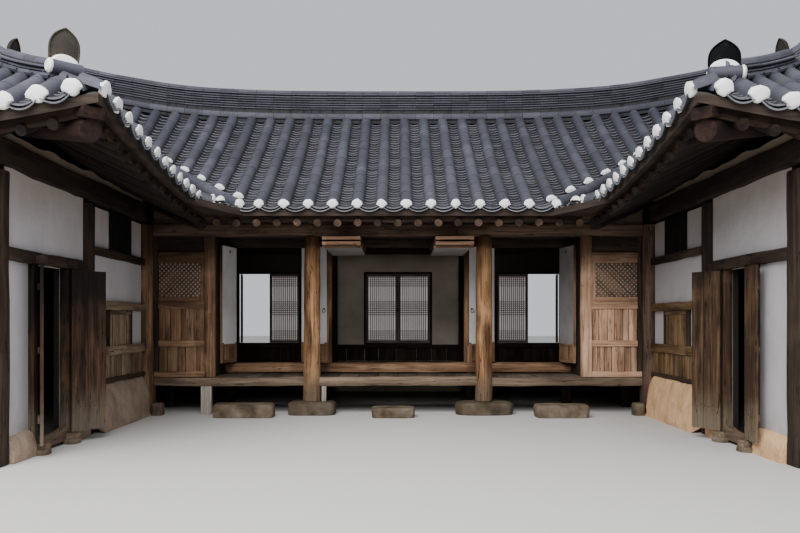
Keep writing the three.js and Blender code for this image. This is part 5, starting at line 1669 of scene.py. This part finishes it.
def ringPull(stock, centre, out, radius, thick, slot):
    out = Vector(out).normalized()
    side = Vector((-out.y, out.x, 0))
    up = Vector((0, 0, 1))
    rings = []
    for i in range(21):
        a = math.tau * i / 20
        middle = Vector(centre) + side * radius * math.cos(a) + up * (radius * math.sin(a) - radius)
        middle += out * 0.012
        radial = side * math.cos(a) + up * math.sin(a)
        rings.append([middle + radial * thick * c + out * thick * s for c, s in arc(6)])
    stock.loft(rings, 0.5, slot=slot)


# The papered leaves beside the hall: where each hangs, which way it lies and how far it is open.
leaf = {
    "near": 0.005, "far": 0.505, "front": 0.005, "back": 0.045, "low": 0.69, "high": 2.4,
    "panelTop": 0.985, "stile": 0.05, "bars": 9, "hingeY": 0.855, "hingeZ": (0.89, 2.2),
    "bands": ((1.02, 1.2, 5), (1.55, 1.8, 6), (2.17, 2.34, 5)),
    "inner": {"hingeX": 1.43, "towards": 1, "open": 145},
    "outer": {"hingeX": 2.47, "towards": -1, "open": 102},
}


def makeHallDoor(side, label, which):
    hung = leaf[which]
    near, far, low, high = leaf["near"], leaf["far"], leaf["low"], leaf["high"]
    back, panelTop, stile = leaf["back"], leaf["panelTop"], leaf["stile"]
    stock = Stock()
    radians = math.radians(hung["open"]) * -hung["towards"]
    turn = swing(side, hung["hingeX"], leaf["hingeY"], radians, hung["towards"])
    out = heading(turn)

    def piece(a, b, width, depth, tone, slot):
        stick(stock, turn(a), turn(b), width, depth, out, tone, slot)

    middle = (leaf["front"] + back) / 2
    deep = back - leaf["front"]
    latticeLeaf(stock, turn, (near, far), (panelTop - 0.05, high), (leaf["front"], back - 0.004),
                leaf["bars"], leaf["bands"], stile)
    # The frame and the two boards of the low panel.
    for x in (near + stile / 2, far - stile / 2):
        piece((x, middle, low), (x, middle, panelTop), stile, deep, 0.5, 0)
    z = low + stile / 2
    piece((near + stile, middle, z), (far - stile, middle, z), stile, deep * 0.96, 0.45, 0)
    for i in range(2):
        x = near + stile + 0.4 * (i + 0.5) / 2
        piece((x, middle, low + stile), (x, middle, panelTop - stile), 0.197, 0.014, 0.4 + 0.2 * i, 0)
    # Paper over the whole inner face above the panel, turned round the frame.
    rings = []
    face = back - 0.001
    for z in (panelTop - 0.02, 1.3, 1.7, 2.1, high - 0.008):
        ring = []
        for i in range(10):
            x = near + 0.006 + (far - near - 0.012) * i / 9
            slack = 0.0012 * noise.noise(Vector((x * 9, z * 3, hung["hingeX"] + side)))
            ring.append(turn((x, face + slack, z)))
        ring += [turn((far - 0.006, face - 0.002, z)), turn((near + 0.006, face - 0.002, z))]
        rings.append(ring)
    stock.loft(rings, 0.5, slot=2)
    for z in leaf["hingeZ"]:
        stick(stock, turn((0, 0, z - 0.04)), turn((0, 0, z + 0.04)), 0.014, 0.014, (1, 0, 0), 0.5, 3)
        piece((0.0, 0.006, z), (0.09, 0.006, z), 0.03, 0.004, 0.5, 3)
    if which == "inner":
        ringPull(stock, turn((0.455, back, 1.48)), out, 0.028, 0.004, 3)
        piece((0.452, back + 0.003, 1.49), (0.458, back + 0.003, 1.47), 0.02, 0.006, 0.5, 3)
    else:
        piece((0.25, back + 0.004, 2.345), (0.25, back + 0.004, 2.30), 0.012, 0.01, 0.5, 3)
        piece((0.25, back + 0.004, 2.33), (0.25, back + 0.004, 2.315), 0.03, 0.008, 0.5, 3)
    body = "hall_door_%s_%s" % (label, which)
    # The right outer leaf's paper takes the darker copy: painted shade.
    sheet = "dimPaper" if body == "hall_door_right_outer" else "doorPaperFace"
    makePiece("paperDoor_%s_%s" % (label, which), stock, "screenWood windowPaper %s blackIron" % sheet,
              body, (body,))


# The folded doors of the hall's middle, two leaves lying on each other, lifted level under the eave.
def makeLiftedDoors(side, label):
    bundle = {"near": 0.487, "far": 0.983, "start": -0.838, "stop": 0.86, "panel": 0.3, "foot": 0.055,
              "layers": ((2.286, 2.328), (2.352, 2.394)), "paper": (2.2835, 2.2862), "rod": (0.7695, -0.64),
              "bands": ((-0.3, -0.1, 5), (0.1, 0.35, 6), (0.6, 0.78, 5)), "stile": 0.05}
    near, far, start, stop = bundle["near"], bundle["far"], bundle["start"], bundle["stop"]
    panelEnd, stile = start + bundle["panel"], bundle["stile"]
    stock = Stock()
    for index, (low, high) in enumerate(bundle["layers"]):
        def turn(p, low=low):
            x, y, z = p
            return Vector((side * x, z, low + y))

        latticeLeaf(stock, turn, (near, far), (panelEnd, stop), (0.0, high - low), 9, bundle["bands"], stile)
        z = (low + high) / 2
        for x in (near + 0.026, far - 0.026):
            stick(stock, (side * x, start, z), (side * x, panelEnd, z), stile, high - low, (0, 0, 1), 0.75)
        hewnBox(stock, mirrored(side, near, far), (start, start + bundle["foot"]), (low, high),
                tone=0.42 - 0.12 * index, slot=0, rough=0.005)
        bar(stock, mirrored(side, near + stile, far - stile), (start + stile, -0.53),
            (low + 0.012, high - 0.012), 0.6, 0, 0)
    # Paper on the side that now faces down, darkened as painted shade.
    bar(stock, mirrored(side, near + 0.004, far - 0.004), (-0.53, stop - 0.004), bundle["paper"], 0.5, 2)
    rodX, rodY = bundle["rod"]
    pole(stock, (side * rodX, rodY, 2.272), (side * rodX, rodY, 2.60), 0.007, 0.007, 0.5, 3, 0.0, 8, 0.0)
    bar(stock, mirrored(side, 0.472, 0.998), (rodY - 0.012, rodY + 0.012), (2.264, 2.2835), 0.6, 0, 0)
    for x in (0.62, 0.85):
        bar(stock, mirrored(side, x - 0.03, x + 0.03), (0.855, 0.868), (2.30, 2.40), 0.5, 3)
    makePiece("liftedDoors_" + label, stock, "screenPale windowPaper dimPaper blackIron",
              replaced=("lifted_doors_" + label,))


makeRearWindows()
for side, label in sides:
    makeHallDoor(side, label, "inner")
    makeHallDoor(side, label, "outer")
for side, label in sides:
    makeLiftedDoors(side, label)
print("windows and hall doors are hung")


doorway = {
    "left": {"farY": -2.64, "nearY": -3.34, "farLeaf": 0.395, "nearLeaf": 0.30, "farTurn": 36,
             "nearTurn": 24, "split": 0.44, "planks": "plankDark", "boards": "boardGrey",
             "corner": "screenWood", "earth": "greyEarth"},
    "right": {"farY": -2.54, "nearY": -3.17, "farLeaf": 0.345, "nearLeaf": 0.28, "farTurn": 32,
              "nearTurn": 4, "split": 0.55, "planks": "plankGold", "boards": "boardGold",
              "corner": "frontBeamWood", "earth": "ochreEarth"},
}


def makeCourtWall(side, label):
    door = doorway[label]
    wall = {"top": 2.642, "posts": ((-0.105, 0.115), (-2.11, -1.89), (-4.11, -3.89)),
            # Height, slot and tone of each rail in the bay next to the hall.
            "rails": (((0.545, 0.60), 1, 0.4), ((0.88, 0.995), 2, 0.5), ((1.435, 1.54), 2, 0.45),
                      ((2.07, 2.165), 1, 0.5)),
            "slats": 19, "slatFirst": -1.385, "slatSpan": 0.715}
    stock = Stock()

    def member(xs, ys, zs, tone, slot, rough):
        hewnBox(stock, mirrored(side, *xs), ys, zs, tone=tone, slot=slot, rough=rough)

    cornerPost, middlePost, frontPost = wall["posts"]
    member((3.412, 3.618), cornerPost, (0.003, wall["top"]), 0.55, 0, 0.010)
    member((3.502, 3.70), middlePost, (0.003, wall["top"]), 0.35, 1, 0.010)
    member((3.502, 3.70), frontPost, (0.003, wall["top"]), 0.45, 1, 0.010)
    # The bay next to the hall: rails, slats, boards and the loft hatch.
    for zs, slot, tone in wall["rails"]:
        member((3.502, 3.575), (-1.90, -0.10), zs, tone, slot, 0.011)
    boarding(stock, -1.90, -0.12, (0.585, 0.895), 3.54, 0.028, 9, "yz", 2, (0.15, 0.8), side, 0.005)
    for ys in ((-1.45, -1.41), (-0.655, -0.61)):
        member((3.505, 3.565), ys, (0.985, 1.445), 0.4, 1, 0.002)
    member((3.51, 3.56), (-1.41, -0.655), (1.38, 1.425), 0.45, 2, 0.002)
    for i in range(wall["slats"]):
        y = wall["slatFirst"] + wall["slatSpan"] * (i + 0.5) / wall["slats"]
        hewn(stock, (side * 3.53, y, 0.99), (side * 3.53, y, 1.40), 0.02, 0.022, dice.uniform(0.35, 0.95),
             2, 0.001, 0.4, up=(1, 0, 0))
    bar(stock, mirrored(side, 3.556, 3.564), (-1.41, -0.655), (0.99, 1.42), 0.1, 1)
    # The loft hatch's boards take the near-black wood: painted shade under the eave.
    boarding(stock, -1.335, -0.605, (2.165, 2.642), 3.535, 0.03, 3, "yz", 6, (0.2, 0.7), side, 0.004)
    # The bay with the plank doors.
    farY, nearY = door["farY"], door["nearY"]
    member((3.502, 3.60), (-3.90, -2.10), (1.853, 1.968), 0.5, 1, 0.012)
    member((3.502, 3.60), (farY, farY + 0.09), (0.003, 1.86), 0.45, 5, 0.004)
    # The near jamb's low tone is painted shade, standing for the shadow beside the near leaf.
    member((3.502, 3.60), (nearY - 0.09, nearY), (0.003, 1.86), 0.12, 5, 0.004)
    # The worn threshold dips in its middle.
    rings, grain = [], []
    low, high = nearY - 0.02, farY + 0.02
    for i in range(15):
        share = i / 14
        y = low + (high - low) * share
        top = 0.125 + 0.045 * (2 * share - 1) ** 2 + 0.01 * share
        for x, z in ((3.502, 0.035), (3.60, 0.035), (3.598, top), (3.55, top + 0.008), (3.504, top - 0.006)):
            rings.append((side * x, y, z))
            grain.append((y, x, z))
    stock.strand(rings, 5, 0.55, grain, 3)
    # Pivot blocks below and above the leaves, on flat stones.
    for y in (farY + 0.01, nearY - 0.01):
        member((3.40, 3.51), (y - 0.06, y + 0.06), (0.003, 0.108), 0.75, 3, 0.006)
        member((3.425, 3.51), (y - 0.045, y + 0.045), (1.852, 1.94), 0.4, 1, 0.004)
        rock(stock, mirrored(side, 3.38, 3.56), (y - 0.11, y + 0.10), (0, 0.05), 0.5, 4, 0.9, 0.012, 2.6)
    finishes = "%s darkBeam %s floorWood fieldStone %s sootWood" % (door["corner"], door["boards"],
                                                                  door["planks"])
    makePiece("courtWallTimber_" + label, stock, finishes,
              replaced=("court_frame_" + label,))


def makeEarthBase(side, label):
    base = {"profile": ((3.39, 0.0), (3.40, 0.12), (3.42, 0.26), (3.456, 0.42), (3.482, 0.50), (3.52, 0.545),
                        (3.60, 0.548), (3.655, 0.53), (3.658, 0.0)),
            "start": -1.888, "stop": -0.107, "steps": 46, "backX": 3.655, "top": 0.56, "endIn": 0.03,
            "foot": ((3.47, 0.0), (3.475, 0.08), (3.49, 0.16), (3.52, 0.22), (3.55, 0.245), (3.575, 0.25),
                     (3.59, 0.0)),
            "footSteps": 16}
    door = doorway[label]
    profile = base["profile"]
    stock = Stock()
    rings = []
    for i in range(base["steps"] + 1):
        share = i / base["steps"]
        y = base["start"] + (base["stop"] - base["start"]) * share
        nearEnd = max(0.0, abs(2 * share - 1) - 0.9) / 0.1
        ring = []
        for (xa, za), (xb, zb) in zip(profile, profile[1:]):
            for t in (0.0, 0.25, 0.5, 0.75):
                x, z = xa + (xb - xa) * t, za + (zb - za) * t
                p = Vector((x, y, z))
                if 0.004 < z and x < 3.6:
                    p += (wander(p + Vector((side * 5, 0, 0)), 0.024, 2.2) + wander(p, 0.012, 8)
                          + wander(p, 0.006, 26))
                    p.x = min(p.x + nearEnd * base["endIn"], base["backX"])
                    p.z = min(max(p.z, 0.0), base["top"])
                ring.append((side * p.x, y, p.z))
        rings.append(ring)
    stock.loft(rings, 0.5)
    makePiece("earthBase_" + label, stock, door["earth"], replaced=("earth_base_" + label,))
    # The low earth foot of the plastered wall on each side of the doorway.
    stock = Stock()
    for start, stop in ((-3.888, door["nearY"] - 0.095), (door["farY"] + 0.095, -2.112)):
        rings = []
        for y in steps(start, stop, base["footSteps"]):
            ring = []
            for x, z in base["foot"]:
                p = Vector((x, y, z))
                if z > 0.001 and x < 3.57:
                    p += wander(p + Vector((side * 5, 3, 0)), 0.02, 3.0) + wander(p, 0.008, 14)
                ring.append((side * min(p.x, 3.59), y, p.z))
            rings.append(ring)
        stock.loft(rings, 0.5)
    rock(stock, mirrored(side, 3.235, 3.40), (-0.24, -0.02), (0, 0.165), 0.5, 1, 0.86, 0.014, 2.8)
    makePiece("earthFoot_" + label, stock, door["earth"] + " fieldStone")


plank = {"bottom": 0.121, "top": 1.839, "thick": 0.034, "pivotX": 3.462, "tail": 0.017, "rows": 34,
         "across": 7, "battens": (0.36, 1.02, 1.62), "nailZ": 0.372,
         "pins": ((0.1105, 0.125), (1.835, 1.8495)), "pinRadius": 0.0145}


# One plank: a grid of points, so that its edges can wander and its foot be worn.
def onePlank(stock, turn, side, index, a, b):
    across = plank["across"]
    rings, grain = [], []
    shift = dice.uniform(0, 30)
    for i in range(plank["rows"] + 1):
        share = i / plank["rows"]
        for k in range(across * 2):
            u = k / (across - 1) if k < across else (2 * across - 1 - k) / (across - 1)
            face = -1 if k < across else 1
            y = a + 0.003 + (b - a - 0.006) * u
            edge = 0.006 * noise.noise(Vector((index * 7 + side, share * 5, u * 2)))
            y += edge if 0.0 < u < 1.0 else edge * 0.6
            bottom = plank["bottom"] + 0.012 * abs(noise.noise(Vector((y * 16, side * 3.1, 1))))
            z = bottom + (plank["top"] - bottom) * share
            x = face * plank["thick"] / 2 * (1.0 if 0.02 < u < 0.98 else 0.8)
            x += 0.0014 * noise.noise(Vector((y * 40, z * 3, face)))
            rings.append(turn((x, y, z)))
            grain.append((z + shift, y + shift, x))
    stock.strand(rings, across * 2, 0.35 + 0.3 * index, grain)


def makePlankDoor(side, label, which):
    door = doorway[label]
    far = which == "far"
    hinge = door["farY"] + 0.01 if far else door["nearY"] - 0.01
    width = door["farLeaf"] if far else door["nearLeaf"]
    angle = math.radians(door["farTurn"]) if far else math.pi - math.radians(door["nearTurn"])
    turn = swing(side, plank["pivotX"], hinge, angle)
    stock = Stock()
    edges = [-plank["tail"], width * door["split"], width] if far else [-plank["tail"], width]
    shown = -1 if far else 1
    for index, (a, b) in enumerate(zip(edges, edges[1:])):
        onePlank(stock, turn, side, index, a, b)
    # Battens on the hidden face, and the nails that hold them.
    x = -shown * (plank["thick"] / 2 + 0.009)
    for z in plank["battens"]:
        stick(stock, turn((x, 0.02, z)), turn((x, width - 0.02, z)), 0.06, 0.018,
              heading(turn, (1, 0, 0)), 0.4, 0)
    count = 7 if far else 4
    for i, y in enumerate(steps(0.03, width - 0.03, count - 1)):
        z = plank["nailZ"] + 0.01 * math.sin(i * 2.1)
        centre = turn((shown * plank["thick"] / 2, y, z))
        out = heading(turn, (shown, 0, 0)).normalized()
        sideways = Vector((-out.y, out.x, 0))
        rings = []
        for depth, radius in ((-0.003, 0.008), (0.002, 0.008), (0.004, 0.004)):
            rings.append([centre + out * depth + sideways * radius * c + Vector((0, 0, radius * s))
                          for c, s in arc(8)])
        stock.loft(rings, 0.5, slot=1)
    for low, high in plank["pins"]:
        pole(stock, turn((0, 0, low)), turn((0, 0, high)), plank["pinRadius"], plank["pinRadius"], 0.5, 0,
             0.0, 10, 0.0)
    body = "wing_door_%s_%s" % (label, which)
    makePiece("plankDoor_%s_%s" % (label, which), stock, door["planks"] + " blackIron",
              body, (body,))


for side, label in sides:
    makeCourtWall(side, label)
    makeEarthBase(side, label)
    makePlankDoor(side, label, "far")
    makePlankDoor(side, label, "near")
print("court walls and plank doors are made")


# Posts, rails and plates of the sides that the court does not show.
rails = {"feet": (0.3003, 1.05, 1.90), "depth": 0.11,
         "rear": ((0.4603, 0.56), (0.75, 0.855), (2.221, 2.331)),
         "post": (0.003, 2.642), "outerPost": (0.30, 2.642), "rearPost": (0.4603, 2.642),
         "wide": (5.89, 6.11), "plate": (2.64, 2.92), "plateY": (-4.15, 3.85), "endX": (3.7103, 5.8897),
         "strip": 0.03, "stripLow": 2.905, "stripIn": 1.18}


# The limed strip between a plate and the rafters above it.
def limedStrip(stock, start, end, inward=rails["stripIn"]):
    rings, grain = [], []
    low = rails["stripLow"]
    run = Vector((end[0] - start[0], end[1] - start[1], 0))
    out = Vector((run.y, -run.x, 0)).normalized() * rails["strip"]
    for i in range(25):
        share = i / 24
        x, y = start[0] + run.x * share, start[1] + run.y * share
        high = underEave(min(inward, y - roof["endEave"])) + liftAt(x, y) - 0.02
        for sign, z in ((1, low), (-1, low), (-1, high), (1, high)):
            rings.append((x + out.x * sign, y + out.y * sign, z))
            grain.append((share, sign, z))
    stock.strand(rings, 4, 0.5, grain, 1)


def makeOuterFrame(side, label):
    stock = Stock()
    for y in (-4.0, 3.7):
        hewnBox(stock, mirrored(side, *rails["wide"]), (y - 0.11, y + 0.11), rails["post"], rough=0.01)
    for y in (-2.0, 0.0, 1.85):
        hewnBox(stock, mirrored(side, 6.0503, 6.11), (y - 0.09, y + 0.09), rails["outerPost"], rough=0.008)
    for z in rails["feet"]:
        hewnBox(stock, mirrored(side, 6.0503, 6.09), (-4.0, 3.7), (z, z + rails["depth"]), rough=0.008)
    hewnBox(stock, mirrored(side, *rails["wide"]), rails["plateY"], rails["plate"], rough=0.012)
    limedStrip(stock, *[(side * 6.0, y) for y in rails["plateY"]])
    for corner, direction in ((roof["endEave"], 1), (roof["rearEave"], -1)):
        hewn(stock, *hipEnds(side, roof["outerEave"], corner, -1, direction, 0.06), 0.16, 0.17)
    makePiece("outerFrame_" + label, stock, "darkBeam stripPlaster",
              replaced=("outer_frame_" + label,))


def makeEndFrame(side, label):
    near, far = rails["endX"]
    stock = Stock()
    hewnBox(stock, mirrored(side, 4.71, 4.89), (-4.11, -4.0503), (0.3003, 2.642), rough=0.008)
    for z in rails["feet"]:
        hewnBox(stock, mirrored(side, near, far), (-4.09, -4.0503), (z, z + rails["depth"]), rough=0.008)
    hewnBox(stock, mirrored(side, near, far), (-4.11, -3.89), rails["plate"], rough=0.012)
    limedStrip(stock, (side * near, -4.0), (side * far, -4.0), -4.0 - roof["endEave"])
    makePiece("endFrame_" + label, stock, "darkBeam stripPlaster",
              replaced=("end_frame_" + label,))


def makeRearFrame():
    far = rails["endX"][1]
    stock = Stock()
    for x in (-4.8, -3.6, -1.2, 1.2, 3.6, 4.8):
        hewnBox(stock, (x - 0.09, x + 0.09), (3.7503, 3.81), rails["rearPost"], rough=0.008)
    for zs in rails["rear"]:
        hewnBox(stock, (-far, far), (3.7503, 3.79), zs, rough=0.008)
    hewnBox(stock, (-far, far), (3.59, 3.81), rails["plate"], rough=0.012)
    limedStrip(stock, (-far, 3.7), (far, 3.7))
    makePiece("rearFrame", stock, "darkBeam stripPlaster", replaced=("rear_frame",))


for side, label in sides:
    makeOuterFrame(side, label)
    makeEndFrame(side, label)
makeRearFrame()
print("outer frames are up")


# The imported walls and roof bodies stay, with finishes of their own.
dress = {
    "main_roof": "roofBody", "wing_roof_left": "roofBody", "wing_roof_right": "roofBody",
    "inner_wall": "lintelPaintedShade", "rear_wall": "rearPlaster",
    "outer_wall_left": "outerPlasterLeft", "outer_wall_right": "outerPlasterRight",
    "end_wall_left": "endPlaster", "end_wall_right": "endPlaster",
    "panel_wall_left": "plasterLeft", "panel_wall_right": "plasterRightPaintedShade",
    "door_wall_left": "plasterLeft", "door_wall_right": "plasterRightPaintedShade",
}
for name, finish in dress.items():
    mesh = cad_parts[name].data
    mesh.materials.clear()
    mesh.materials.append(bpy.data.materials[finish])
print("packed walls and roofs are dressed")


def makeStudio():
    bpy.ops.mesh.primitive_plane_add(size=120, location=(0, 0, 0))
    floor = bpy.context.object
    floor.name = "studioFloor"
    w = Wiring("studioFloor")
    floor.data.materials.append(w.finish((0.58, 0.565, 0.54), 0.9, None, 0.1))


makeStudio()
